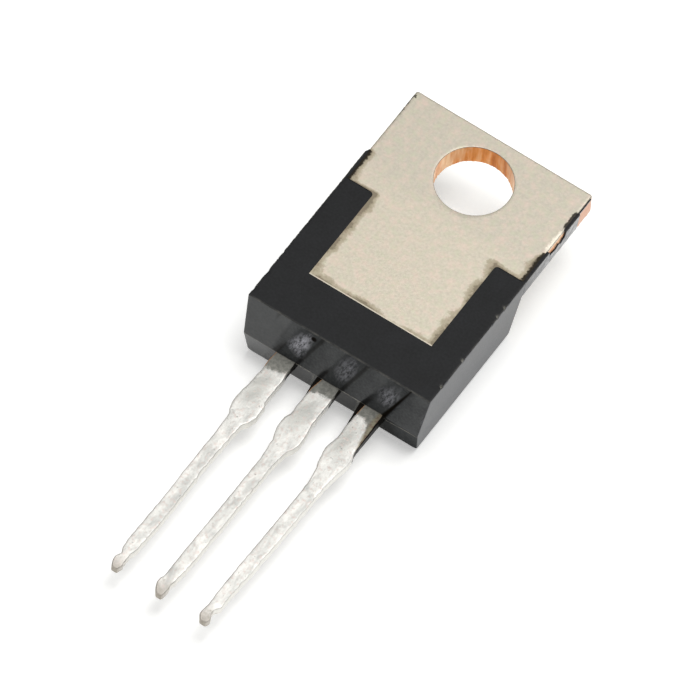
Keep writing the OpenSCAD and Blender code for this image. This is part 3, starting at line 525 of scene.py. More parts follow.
def makeSolder(look):
    # copper strip dipped in molten tin solder: pale, dull and mottled, streaked down its length,
    # with a blush of oxide and dark specks; the values solder and stain on the mesh mark the bare
    # grey root and the resin-stained side, and across tells the left edge from the right one
    material, tree, shader, grid = startMaterial("tinSolderHotDippedOverCopper", {})
    drawn = addNode(tree, "ShaderNodeVectorMath", {"operation": "MULTIPLY", 1: (1.0, 0.4, 1.0)}, {0: grid}).outputs[0]
    wide = addNode(tree, "ShaderNodeTexNoise", {"Scale": 1.9, "Detail": 5.0, "Roughness": 0.62, "Distortion": 0.4},
                   {"Vector": drawn}).outputs[0]
    fine = addNode(tree, "ShaderNodeTexNoise", {"Scale": 5.5, "Detail": 5.0, "Roughness": 0.7},
                   {"Vector": grid}).outputs[0]
    across = addNode(tree, "ShaderNodeAttribute", {"attribute_name": "across"}).outputs["Fac"]
    # painted shade: the tone grows a little greyer towards each lead's right edge
    shade = addNode(tree, "ShaderNodeMath", {"operation": "MULTIPLY_ADD", 1: 0.07}, {0: across, 2: wide}).outputs[0]
    shade = addNode(tree, "ShaderNodeMath", {"operation": "MULTIPLY_ADD", 1: 0.35}, {0: fine, 2: shade}).outputs[0]
    tone = addNode(tree, "ShaderNodeValToRGB", {"ramp": [
        (0.5, look["bright"]), (0.66, look["mid"]), (0.84, look["grey"])]}, {0: shade}).outputs[0]
    # a greyer patch on the back of each lead where it widens, left of the middle
    down = addNode(tree, "ShaderNodeSeparateXYZ", {}, {0: grid}).outputs[1]
    oval = addNode(tree, "ShaderNodeCombineXYZ", {}, {0: across, 1: down, 2: wide}).outputs[0]
    oval = addNode(tree, "ShaderNodeVectorMath", {"operation": "MULTIPLY_ADD", 1: (1.1, 0.72, 1.5),
                                                  2: (0.3, 10.3, -0.6)}, {0: oval}).outputs[0]
    oval = addNode(tree, "ShaderNodeVectorMath", {"operation": "LENGTH"}, {0: oval}).outputs["Value"]
    oval = addNode(tree, "ShaderNodeMapRange", {"From Min": 1.2, "From Max": 0.35, "To Max": 0.75},
                   {"Value": oval}).outputs[0]
    tone = addNode(tree, "ShaderNodeMix", {"data_type": "RGBA", 7: linear(look["greyPatch"])},
                   {0: oval, 6: tone}).outputs[2]
    blush = addNode(tree, "ShaderNodeMapRange", {"From Min": 0.52, "From Max": 0.68, "To Min": 0.0, "To Max": 0.7},
                    {"Value": fine}).outputs[0]
    tone = addNode(tree, "ShaderNodeMix", {"data_type": "RGBA", 7: linear(look["blush"])},
                   {0: blush, 6: tone}).outputs[2]
    side = addNode(tree, "ShaderNodeMath", {"operation": "ABSOLUTE"}, {0: across}).outputs[0]
    side = addNode(tree, "ShaderNodeMapRange", {"From Min": 0.95, "From Max": 0.99}, {"Value": side}).outputs[0]
    tone = addNode(tree, "ShaderNodeMix", {"data_type": "RGBA", 7: linear(look["edge"])},
                   {0: side, 6: tone}).outputs[2]         # painted reflection: the narrow sides are drawn bright where they mirror the white ground
    speck = addNode(tree, "ShaderNodeTexNoise", {"Scale": 8.0, "Detail": 2.0, "Roughness": 0.5},
                    {"Vector": grid}).outputs[0]
    speck = addNode(tree, "ShaderNodeMapRange", {"From Min": 0.31, "From Max": 0.25, "To Max": 0.6},
                    {"Value": speck}).outputs[0]
    tone = addNode(tree, "ShaderNodeMix", {"data_type": "RGBA", 7: linear(look["speck"])},
                   {0: speck, 6: tone}).outputs[2]
    # the drop that hangs at the end of each lead is duller and browner
    knob = addNode(tree, "ShaderNodeMath", {"operation": "MULTIPLY_ADD", 1: 3.0}, {0: fine, 2: down}).outputs[0]
    knob = addNode(tree, "ShaderNodeMapRange", {"From Min": -24.1, "From Max": -24.9, "To Max": 0.7},
                   {"Value": knob}).outputs[0]
    tone = addNode(tree, "ShaderNodeMix", {"data_type": "RGBA", 7: linear(look["tip"])},
                   {0: knob, 6: tone}).outputs[2]
    rootTone = addNode(tree, "ShaderNodeValToRGB", {"ramp": [(0.35, look["rootDark"]), (0.6, look["root"])]},
                       {0: fine}).outputs[0]
    solder = addNode(tree, "ShaderNodeAttribute", {"attribute_name": "solder"}).outputs["Fac"]
    frayed = addNode(tree, "ShaderNodeMapRange", {"To Min": -1.1, "To Max": 1.1}, {"Value": fine}).outputs[0]
    solder = addNode(tree, "ShaderNodeMath", {"operation": "ADD"}, {0: solder, 1: frayed}).outputs[0]
    solder = addNode(tree, "ShaderNodeMapRange", {"From Min": 0.25, "From Max": 0.75}, {"Value": solder}).outputs[0]
    rim = addNode(tree, "ShaderNodeMapRange", {"From Min": -0.9, "From Max": -0.96, "To Max": 0.8},
                  {"Value": across}).outputs[0]           # copper shows at the trimmed left edge
    rootTone = addNode(tree, "ShaderNodeMix", {"data_type": "RGBA", 7: linear(look["rootEdge"])},
                       {0: rim, 6: rootTone}).outputs[2]
    tone = addNode(tree, "ShaderNodeMix", {"data_type": "RGBA"}, {0: solder, 6: rootTone, 7: tone}).outputs[2]
    film = addNode(tree, "ShaderNodeAttribute", {"attribute_name": "film"}).outputs["Fac"]
    film = addNode(tree, "ShaderNodeMath", {"operation": "MULTIPLY_ADD", 1: 1.6}, {0: film, 2: frayed}).outputs[0]
    film = addNode(tree, "ShaderNodeMapRange", {"From Min": 0.4, "From Max": 1.5, "To Max": 0.75},
                   {"Value": film}).outputs[0]
    filmTone = addNode(tree, "ShaderNodeValToRGB", {"ramp": [(0.42, look["rust"]), (0.52, look["film"])]},
                       {0: fine}).outputs[0]
    tone = addNode(tree, "ShaderNodeMix", {"data_type": "RGBA"}, {0: film, 6: tone, 7: filmTone}).outputs[2]
    stain = addNode(tree, "ShaderNodeAttribute", {"attribute_name": "stain"}).outputs["Fac"]
    stain = addNode(tree, "ShaderNodeMapRange", {"From Min": 0.35, "From Max": 0.65}, {"Value": stain}).outputs[0]
    tone = addNode(tree, "ShaderNodeMix", {"data_type": "RGBA", 7: linear(look["stain"])},
                   {0: stain, 6: tone}).outputs[2]
    tree.links.new(tone, shader.inputs["Base Color"])
    plated = addNode(tree, "ShaderNodeMath", {"operation": "SUBTRACT"}, {0: solder, 1: stain}).outputs[0]
    plated = addNode(tree, "ShaderNodeMath", {"operation": "MULTIPLY_ADD", 1: -0.7}, {0: film, 2: plated}).outputs[0]
    metal = addNode(tree, "ShaderNodeMapRange", {"To Min": 0.2, "To Max": 1.0}, {"Value": plated}).outputs[0]
    tree.links.new(metal, shader.inputs["Metallic"])
    rough = addNode(tree, "ShaderNodeMapRange", {"To Min": 0.62, "To Max": 0.5}, {"Value": solder}).outputs[0]
    rough = addNode(tree, "ShaderNodeMath", {"operation": "MULTIPLY_ADD", 1: 0.3}, {0: speck, 2: rough}).outputs[0]
    tree.links.new(rough, shader.inputs["Roughness"])
    bump = addNode(tree, "ShaderNodeBump", {"Strength": 0.6, "Distance": 1.8e-5}, {"Height": fine}).outputs[0]
    tree.links.new(bump, shader.inputs["Normal"])
    return material


def makeInner(name, base, other, scale, metallic, roughness):
    # a hidden piece: two close tones in a fine cloud, with a little relief
    material, tree, shader, grid = startMaterial(name, {"Metallic": metallic, "Roughness": roughness})
    cloud = addNode(tree, "ShaderNodeTexNoise", {"Scale": scale, "Detail": 3.0}, {"Vector": grid}).outputs[0]
    tone = addNode(tree, "ShaderNodeMix", {"data_type": "RGBA", 6: linear(base), 7: linear(other)},
                   {0: cloud}).outputs[2]
    tree.links.new(tone, shader.inputs["Base Color"])
    bump = addNode(tree, "ShaderNodeBump", {"Strength": 0.3, "Distance": 4e-6}, {"Height": cloud}).outputs[0]
    tree.links.new(bump, shader.inputs["Normal"])
    return material


epoxy = makeEpoxy(epoxyLook)
nickel = makeNickel(nickelLook)
solder = makeSolder(solderLook)
siliconPolished = makeInner("siliconPolishedAndEtched", "#3a3f4c", "#4a5060", 4.0, 0.0, 0.2)
softSolderCast = makeInner("softSolderReflowed", "#8f8f93", "#a4a4a6", 6.0, 1.0, 0.5)
aluminiumDrawn = makeInner("aluminiumWireDrawn", "#d9dadd", "#c4c5c9", 12.0, 1.0, 0.3)
print("materials made")


bodyShape = {
    "width": 10.4, "thickness": 4.5, "sideDraft": 4.5,
    "backEnd": -11.6775, "partingEnd": -12.15, "frontEnd": -11.8047, "frontTop": -3.854,
    "top": -3.4, "leadLevel": -2.6, "tabThickness": 1.27,
    "padHalf": 3.5, "padEnd": -9.0, "shoulder": 0.2,
    "edge": 0.05, "frontEdge": 0.3, "ejectorRadius": 0.9, "ejectorDepth": 0.08,
    "chips": 0.08,                # how deep the knocks on the long back edges go
    "nicks": (-5.15, -5.77, -8.8, -10.6),   # larger ones on the right edge, as places along Y
}


def profileLoop(corners, radii, counts, arcSteps=5):
    # closed outline in Y and Z: at each corner an arc of the given radius, then a straight
    # run with the given number of points; the normals turn evenly through each arc
    corners = np.array(corners, float)
    total = len(corners)
    after = np.roll(corners, -1, 0) - corners
    lengths = np.linalg.norm(after, axis=1)
    normals = np.zeros_like(after)
    for i in list(range(total)) * 2:
        if lengths[i] > 1e-9:
            normals[i] = np.array([-after[i][1], after[i][0]]) / lengths[i]
        else:
            normals[i] = normals[i - 1]
    places, ways, cuts = [], [], []
    for i in range(total):
        before, behind = normals[i - 1], normals[i]
        half = math.acos(np.clip(before @ behind, -1, 1)) / 2
        cuts.append(radii[i] * math.tan(half))
    for i in range(total):
        before, behind = normals[i - 1], normals[i]
        t = np.linspace(0, 1, arcSteps)[:, None]
        way = before * (1 - t) + behind * t
        way /= np.linalg.norm(way, axis=1)[:, None]
        middle = before + behind
        middle /= np.linalg.norm(middle)
        half = math.acos(np.clip(before @ behind, -1, 1)) / 2
        centre = corners[i] - middle * radii[i] / math.cos(half)
        places.append(centre + way * radii[i])
        ways.append(way)
        step = np.linspace(0, 1, counts[i] + 2)[1:-1, None]
        unit = after[i] / max(lengths[i], 1e-9)
        start = corners[i] + unit * cuts[i] * (lengths[i] > 1e-9)
        end = corners[(i + 1) % total] - unit * cuts[(i + 1) % total] * (lengths[i] > 1e-9)
        places.append(start * (1 - step) + end * step)
        ways.append(np.repeat(behind[None], counts[i], 0))
    return np.concatenate(places), np.concatenate(ways)


def bodyGrid(shape):
    # The outline in Y and Z is carried from the left long side to the right one. Over the pad
    # the outline dips under the copper. x = X beside the pad, drawn in by draft * depth past
    # it; each long side is rounded by (1 - cos, sin) of the same angle and shrinks to a point.
    s = shape
    z0, zTab, zFront = 0.0, -s["tabThickness"], -s["thickness"]
    counts = [34, 8, 68, 16, 40, 92, 26, 36]
    ends = [(s["frontTop"], zFront), (s["frontEnd"], zFront), (s["partingEnd"], s["leadLevel"])]
    armCorners = [(s["backEnd"], z0), (s["padEnd"], z0), (s["padEnd"], z0), (s["top"], z0), (s["top"], zTab)] + ends
    padCorners = [(s["backEnd"], z0), (s["padEnd"], z0), (s["padEnd"], zTab), (s["top"], zTab), (s["top"], zTab)] + ends
    e, f = s["edge"], s["frontEdge"]
    arm, armWay = profileLoop(armCorners, [e, 0, 0, e, 0, f, f, e], counts)
    pad, padWay = profileLoop(padCorners, [e, 0, 0, 0, 0, f, f, e], counts)
    arm, pad, armWay = arm[::-1], pad[::-1], armWay[::-1]
    halfWidth = s["width"] / 2
    draft = math.tan(math.radians(s["sideDraft"]))
    edgeRadius = e + (f - e) * ease((-arm[:, 1] - s["thickness"] + f) / (f * 0.7))

    def sideX(z):
        return halfWidth + z * draft

    rows = []
    angles = np.radians(np.linspace(90, 0, 7))
    shrink = np.linspace(0, 1, 22)[:-1] ** 0.8
    middle = np.array([(s["backEnd"] + s["top"]) / 2, -s["thickness"] / 2])
    inner = arm - armWay * edgeRadius[:, None]
    for k in shrink:                                  # long side, from its middle outwards
        flat = middle + (inner - middle) * k
        rows.append(np.column_stack([-sideX(flat[:, 1]), flat]))
    for a in angles:                                  # rounded long edge
        flat = arm - armWay * (edgeRadius * (1 - math.cos(a)))[:, None]
        rows.append(np.column_stack([-sideX(flat[:, 1]) + edgeRadius * (1 - math.sin(a)), flat]))
    fillet = s["shoulder"] - np.clip(arm[:, 0] - s["top"] + s["shoulder"], 0, s["shoulder"])
    fillet = s["shoulder"] - np.sqrt(np.clip(s["shoulder"] ** 2 - (s["shoulder"] - fillet) ** 2, 0, None))
    bay = s["padHalf"] + fillet                       # half the width of the gap between the arms
    half = [rows, []]
    edgeX = sideX(arm[:, 1]) - edgeRadius
    for t in np.linspace(0, 1, 20)[1:]:
        half[0].append(np.column_stack([-(edgeX * (1 - t) + bay * t), arm]))
    left = np.stack(half[0])
    right = left[::-1] * np.array([-1, 1, 1])
    across = np.linspace(-1, 1, 86)
    centre = np.stack([np.column_stack([bay * t, pad]) for t in across])
    points = np.concatenate([left, centre, right])
    # ejector mark: a shallow round dish in the front face
    x, y, z = points[..., 0], points[..., 1], points[..., 2]
    apart = np.hypot(x, y - (s["frontTop"] + s["frontEnd"]) / 2)
    mark = (z < zFront + 0.01) * ease((s["ejectorRadius"] - apart) / 0.06 + 0.5)
    points[..., 2] += s["ejectorDepth"] * mark
    # knocks on the long back edges
    nearEdge = np.exp(-((halfWidth - np.abs(x)) ** 2 + z ** 2) / 0.09 ** 2)
    knock = np.clip(jagged(y + 7 * (x > 0), 0.21, 5) - 0.35, 0, None) + 0.25 * np.abs(jagged(y - x, 0.09, 9))
    nick = sum(np.exp(-((y - place) / 0.06) ** 2) for place in s["nicks"]) * (x > 0) * nearEdge
    points[..., 0] -= np.sign(x) * (nearEdge * knock + nick) * s["chips"]
    points[..., 2] -= (nearEdge * knock + nick) * s["chips"] * 0.8
    return {"points": points, "wrap": (False, True), "values": {"nick": np.clip(nick * 1.2, 0, 0.9)}}


def stripGrid(y, inner, outer, top, bottom, seed, lean=0.0, uneven=0.008):
    # thin bar along Y: four sides between x = inner and outer and z = bottom and top, each a
    # function of y, with the outer corners cut by 0.015 and the ends shrunk to a point; below
    # z = 0 the outer side leans in by lean for every millimetre
    lap = np.array([(0, 1), (0.5, 1), (1, 1), (1, 1), (1, 0.5), (1, 0), (1, 0), (0.5, 0), (0, 0), (0, 0.5)])
    cutX = 0.015 * np.array([[0, 0, 1, 0, 0, 0, 1, 0, 0, 0]])
    cutZ = 0.015 * np.array([[0, 0, 0, 1, 0, -1, 0, 0, 0, 0]])
    a, b = lap[:, 0][None], lap[:, 1][None]
    y, inner, outer, top, bottom = (np.asarray(v)[:, None] for v in (y, inner, outer, top, bottom))
    z = bottom + (top - bottom) * b - cutZ
    x = inner + (outer + lean * z - np.sign(outer) * cutX - inner) * a + uneven * ripple(y * 1.0, a * 2 + b, 0.4, seed)
    points = np.stack(np.broadcast_arrays(x, y + 0 * a, z), -1)
    first, last = points[:1].mean(1, keepdims=True), points[-1:].mean(1, keepdims=True)
    first, last = (np.broadcast_to(p, points[:1].shape) for p in (first, last))
    return {"points": np.concatenate([first, points, last]), "wrap": (False, True)}


skinShape = {
    "outer": 5.2, "inner": 4.95,      # over the rolled edge of the tab
    "start": -3.7, "lean": math.tan(math.radians(bodyShape["sideDraft"])),
    "rightEnd": 1.38, "breakStart": -1.28, "breakEnd": 0.1, "breakDepth": 0.5,
    "hairEnd": 2.46,                  # a hair of resin runs on along the rolled edge
    "leftEnd": -1.36, "bottom": -1.27,
    "leftHair": (1.35, 2.5),          # and a torn one along the free end of the left edge
}


def skinGrids(s):
    # right: full height, then chipped down, then full again, then a hair on the roll; left: full,
    # then after a bare stretch a hair
    y = np.arange(s["start"], s["hairEnd"], 0.03)
    whole = 1 - ease((y - s["rightEnd"]) / 0.05)
    chipped = ease((y - s["breakStart"]) / 0.06) * (1 - ease((y - s["breakEnd"]) / 0.08))
    out = ease((y + 3.4) / 0.05)                      # 0 inside the body
    chew = jagged(y, 0.16, 21)
    top = -0.004 - chipped * (s["breakDepth"] + 0.1 * jagged(y, 0.2, 22)) - 0.03 * (1 - whole)
    top = top - 0.04 * out * np.clip(jagged(y, 0.11, 23) - 0.5, 0, None)
    inner = s["inner"] + 0.035 * chew + 0.04 * (1 - whole)
    outer = s["outer"] - 0.06 * (1 - whole) - 0.005 * out * (1 + jagged(y, 0.14, 24)) - 0.02 * (1 - out)
    bottom = s["bottom"] + (1 - whole) * 1.12
    right = stripGrid(y, inner, outer, top, bottom, 31, s["lean"], 0.002)
    y = np.arange(s["start"], s["leftEnd"], 0.03)
    fade = ease((y - s["leftEnd"] + 0.3) / 0.3)
    inner = s["inner"] + 0.035 * jagged(y, 0.15, 25) + 0.1 * fade
    outer = s["outer"] - 0.012 + 0.01 * jagged(y, 0.13, 26) - 0.08 * fade
    left = stripGrid(y, -inner, -outer, -0.004 - 0.06 * fade, s["bottom"] + 0 * y, 32, -s["lean"], 0.002)
    y = np.arange(*s["leftHair"], 0.03)
    torn = np.clip(0.3 + jagged(y, 0.22, 27), 0, 1)
    hair = stripGrid(y, -5.01 + 0 * y, -5.02 - 0.09 * torn, -0.03 - 0.03 * (1 - torn), -0.08 - 0.12 * torn, 33)
    return [right, left, hair]


leadEdges = {
    # distance from the centre line to the left and right edges, down the lead from y = -12
    "output": {
        "left": [(-9.9, 0.54), (-12.1, 0.56), (-12.8, 0.62), (-13.4, 0.6), (-14.6, 0.66), (-14.85, 0.72),
                 (-15.6, 0.74), (-16.06, 0.64), (-16.25, 0.5), (-16.9, 0.43), (-17.6, 0.43), (-20, 0.43),
                 (-21.9, 0.39), (-24, 0.43), (-24.94, 0.44), (-25.42, 0.39), (-25.7, 0.28), (-25.82, 0.36),
                 (-26.0, 0.43), (-26.24, 0.41), (-26.55, 0.26)],
        "right": [(-9.9, 0.54), (-12.1, 0.52), (-12.8, 0.53), (-13.4, 0.6), (-14.8, 0.58), (-15.0, 0.7),
                  (-15.76, 0.73), (-16.2, 0.6), (-16.55, 0.37), (-17.2, 0.34), (-19.7, 0.26), (-20.85, 0.32),
                  (-22.85, 0.31), (-24.4, 0.27), (-25.2, 0.23), (-25.6, 0.12), (-25.9, 0.13), (-26.3, 0.14),
                  (-26.55, 0.05)],
        "solderFrom": [(-1, -13.15), (0, -13.1), (1, -12.9)], "stainTo": -12.95, "seed": 61,
        "film": [(-12.0, 2.0), (-27.0, 2.0)],
    },
    "ground": {
        "left": [(-9.9, 0.54), (-12.1, 0.48), (-12.78, 0.6), (-13.3, 0.65), (-13.96, 0.64), (-14.6, 0.62),
                 (-14.95, 0.77), (-15.55, 0.76), (-16.03, 0.62), (-16.33, 0.52), (-16.9, 0.47), (-17.5, 0.41),
                 (-20, 0.42), (-23.9, 0.46), (-25.5, 0.46), (-25.6, 0.48), (-25.74, 0.57), (-26.0, 0.58),
                 (-26.34, 0.43), (-26.55, 0.28)],
        "right": [(-9.9, 0.54), (-12.1, 0.5), (-12.74, 0.54), (-13.3, 0.55), (-14.5, 0.56), (-15.1, 0.64),
                  (-15.75, 0.71), (-16.2, 0.62), (-16.5, 0.44), (-17.2, 0.32), (-17.85, 0.29), (-20, 0.3),
                  (-23, 0.26), (-24.6, 0.21), (-25.5, 0.16), (-25.75, 0.08), (-26.0, 0.12), (-26.3, 0.1),
                  (-26.55, 0.03)],
        "solderFrom": [(-1, -13.1), (0, -12.85), (1, -12.85)], "stainTo": -13.0, "seed": 62,
        "film": [(-12.0, 2.0), (-27.0, 2.0)],
    },
    "input": {
        "left": [(-9.9, 0.54), (-12.1, 0.57), (-12.9, 0.62), (-13.7, 0.66), (-14.4, 0.63), (-14.83, 0.72),
                 (-15.3, 0.77), (-15.7, 0.69), (-16.1, 0.61), (-16.4, 0.5), (-16.84, 0.44), (-17.4, 0.36),
                 (-20, 0.38), (-23.36, 0.45), (-25.1, 0.45), (-25.5, 0.43), (-25.7, 0.44), (-26.1, 0.5),
                 (-26.3, 0.48), (-26.55, 0.33)],
        "right": [(-9.9, 0.54), (-12.1, 0.46), (-12.95, 0.47), (-13.6, 0.49), (-14.6, 0.51), (-14.98, 0.61),
                  (-15.43, 0.66), (-15.92, 0.58), (-16.4, 0.49), (-17.3, 0.42), (-20, 0.36), (-23, 0.26),
                  (-24.8, 0.16), (-25.45, 0.2), (-25.6, 0.1), (-25.75, -0.01), (-26.0, 0.0), (-26.2, 0.1),
                  (-26.55, 0.05)],
        "solderFrom": [(-1, -12.8), (-0.3, -12.8), (0.4, -13.05), (0.75, -13.5), (1, -14.4)],
        "stainTo": -14.9, "seed": 63,
        "film": [(-12.0, 0.45), (-12.9, 0.35), (-13.6, 0.5), (-14.3, 0.7), (-14.95, 1.0), (-15.0, 2.0), (-27.0, 2.0)],
    },
}

finShape = {
    # lead, its place along X, side, length outside the body, width at the body
    "fins": [("ground", 0.0, "left", 1.15, 0.26), ("input", 2.54, "left", 1.4, 0.24),
             ("input", 2.54, "right", 2.7, 0.09), ("ground", 0.0, "right", 0.4, 0.03),
             ("output", -2.54, "right", 0.4, 0.03)],
    "lap": 0.06,                      # how far a fin lies under the lead's edge
}


def finGrids(s):
    # wedges of flash beside the leads at their own level: the width over the lead's edge falls
    # from the body outwards as (1 - share of the length)
    grids = []
    for number, (lead, middle, side, reach, width) in enumerate(s["fins"]):
        y = np.linspace(-12.0, -12.15 - reach, 30)
        t = np.clip((-12.15 - y) / reach, 0, 1)
        edge = np.interp(-y, *np.array([(-a, b) for a, b in leadEdges[lead][side]]).T)
        way = 1 if side == "right" else -1
        outer = middle + way * (edge + width * (1 - t) + 0.008 * jagged(y, 0.1, 40 + number) * (1 - t))
        grids.append(stripGrid(y, middle + way * (edge - s["lap"]), outer, -2.6 - 0.04 * t, -3.08 + 0.1 * t,
                               45 + number, 0.0, 0.003))
        grids[-1]["values"] = {"flash": 1.0}
    return grids


mouldedBody = buildPiece("mouldedBody", [bodyGrid(bodyShape)] + skinGrids(skinShape) + finGrids(finShape), [epoxy])
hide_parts("moulded_body")


tabShape = {
    "halfWidth": 5.08, "end": 2.7, "thickness": 1.27, "bodyTop": -3.4, "cornerRadius": 0.12,
    "slant": 0.008,                   # the shears left the free end this much out of square
    "padHalf": 3.5, "padEnd": -9.0, "shoulder": 0.2,
    "roll": 0.08,                     # where the press drew the back edge over
    "burr": 0.035,                    # how far the torn lower half of the cut stands out
    "holeRadius": 1.95, "holeRoll": 0.035,
    "lockReach": 0.35, "lockLow": 0.65,
}


def tabOutline(s):
    # outline in X and Y from the pad's end round to the left, in steps of about 0.06;
    # onTab is 1 where the edge belongs to the tab and 0 where it belongs to the pad
    w, p, r, c = s["halfWidth"], s["padHalf"], s["shoulder"], s["cornerRadius"]
    bend = np.radians(np.linspace(0, 90, 7))[1:-1]
    right = [np.column_stack([np.linspace(0, p, 60), np.full(60, s["padEnd"])]),
             np.column_stack([np.full(86, p), np.linspace(s["padEnd"], s["bodyTop"] - r, 88)[2:]]),
             np.column_stack([p + r - r * np.cos(bend), s["bodyTop"] - r + r * np.sin(bend)]),
             np.column_stack([np.linspace(p + r, w, 22), np.full(22, s["bodyTop"])]),
             np.column_stack([np.full(98, w), np.linspace(s["bodyTop"], s["end"] - c, 100)[2:]]),
             np.column_stack([w - c + c * np.cos(bend), s["end"] - c + c * np.sin(bend)]),
             np.column_stack([np.linspace(w - c, 0, 84), np.full(84, s["end"])])]
    tab = [0, 0, 0, 0, 1, 1, 1]
    flags = np.concatenate([np.full(len(run), flag, float) for run, flag in zip(right, tab)])
    right = np.concatenate(right)
    left = right[-2:0:-1] * np.array([-1, 1])
    outline = np.concatenate([right, left])
    outline[:, 1] -= s["slant"] * outline[:, 0] * ease(outline[:, 1] - s["end"] + 1.0)
    return outline, np.concatenate([flags, flags[-2:0:-1]])


def tabGrid(s):
    # A ring-shaped surface: columns go once round the outline, rows go down the hole's wall,
    # out along the underside, up the outer side and back over the face to the hole.
    outline, onTab = tabOutline(s)
    ahead = np.roll(outline, -1, 0) - np.roll(outline, 1, 0)
    normal = np.column_stack([ahead[:, 1], -ahead[:, 0]])
    normal /= np.linalg.norm(normal, axis=1)[:, None]
    angle = np.arctan2(outline[:, 1], outline[:, 0])
    ring = np.column_stack([np.cos(angle), np.sin(angle)])
    t, top = s["thickness"], 0.0
    run = np.cumsum(np.linalg.norm(ahead, axis=1)) / 2
    rough = jagged(run - 20, 0.13, 51)
    rows, bare = [], []

    def addRow(flat, z, copper):
        rows.append(np.column_stack([flat, np.broadcast_to(z, len(flat))]))
        bare.append(np.broadcast_to(copper, len(flat)))

    for a in np.radians(np.linspace(0, 90, 6)):       # rolled rim of the hole
        radius = s["holeRadius"] + s["holeRoll"] * (1 - math.sin(a))
        addRow(ring * radius, top - s["holeRoll"] * (1 - math.cos(a)), 0.0 if a < 1.2 else 0.5)
    for z in np.linspace(-0.09, -t + 0.02, 14):       # wall, smooth above and torn below
        torn = ease((-z - 0.75) / 0.2)
        radius = s["holeRadius"] + 0.006 * ripple(angle * 2, z + 0 * angle, 0.5, 52) + 0.015 * torn * rough
        addRow(ring * radius[:, None], z, 1.0)
    addRow(ring * (s["holeRadius"] + 0.03), -t, 0.6)
    lock = (1 - onTab) * (outline[:, 1] < s["bodyTop"] - 0.001)
    low = outline + normal * (s["lockReach"] * lock)[:, None]
    for k in np.linspace(0.12, 1, 8):                 # underside
        flat = ring * (s["holeRadius"] + 0.03) * (1 - k) + low * k
        addRow(flat - normal * 0.02 * (k == 1), -t, 0.0)
    free = ease((outline[:, 1] - 1.4) / 0.1)          # not where resin covers the side
    stand = (s["burr"] * onTab * free * (0.5 + 0.5 * rough))[:, None] * normal
    levels = np.array([-t + 0.02, -1.1, -0.92, -0.82, -0.72, -0.66])
    for z in levels:                                  # side, torn half, with the lock step round the pad
        fade = ease((-z - 0.55) / 0.25)
        addRow(low + stand * fade, z, onTab)
    addRow(outline + stand * 0.2, -0.65, onTab)
    for z in (-0.6, -0.5, -0.42, -0.34, -0.26, -0.18):
        addRow(outline, z, onTab)
    roll = s["roll"] * onTab * (1 + 0.18 * rough)
    for a in np.radians(np.linspace(0, 90, 8)):       # rolled back edge
        flat = outline - normal * (roll * (1 - math.cos(a)))[:, None]
        addRow(flat, -roll * (1 - math.sin(a)), onTab * (0.5 if a < 0.3 else 0.0))
    edge = outline - normal * roll[:, None]
    for k in np.linspace(0, 1, 30)[1:-1]:             # back face
        flat = edge * (1 - k) + ring * (s["holeRadius"] + s["holeRoll"]) * k
        addRow(flat, top, 0.0)
    return {"points": np.stack(rows), "wrap": (True, True), "values": {"bare": np.stack(bare)}}


leadShape = {
    "level": -2.85, "thickness": 0.5, "pitch": 2.54, "postInner": 1.43, "postWidth": 2.3,
    "postStart": -9.9, "postEnd": -11.0, "postNeck": -11.35, "rootHalf": 0.54,
    "corner": 0.02, "solderCorner": 0.035,   # radius of the long edges, bare and under solder
    "crown": 0.008, "waves": 0.003,          # how the solder swells on the flat faces
    "teeth": (0.014, 0.03),                  # raggedness of the left and right edges
}


def sectionLoop(across=15, down=5, bend=4):
    # once round a rectangle with rounded corners: for each point its share of the straight half
    # width and half height, and the cosine and sine of the way out of its corner's centre
    corners = np.array([(1, 1), (-1, 1), (-1, -1), (1, -1), (1, 1)], float)
    loop = []
    for quarter in range(4):
        here, there = corners[quarter], corners[quarter + 1]
        arc = np.radians(quarter * 90 + np.linspace(0, 90, bend))
        loop.append(np.column_stack([np.repeat(here[None], bend, 0), np.cos(arc), np.sin(arc)]))
        t = np.linspace(0, 1, down if quarter % 2 else across)[1:-1, None]
        way = np.repeat([[np.cos(arc[-1]), np.sin(arc[-1])]], len(t), 0)
        loop.append(np.column_stack([here * (1 - t) + there * t, way]))
    return np.concatenate(loop).T


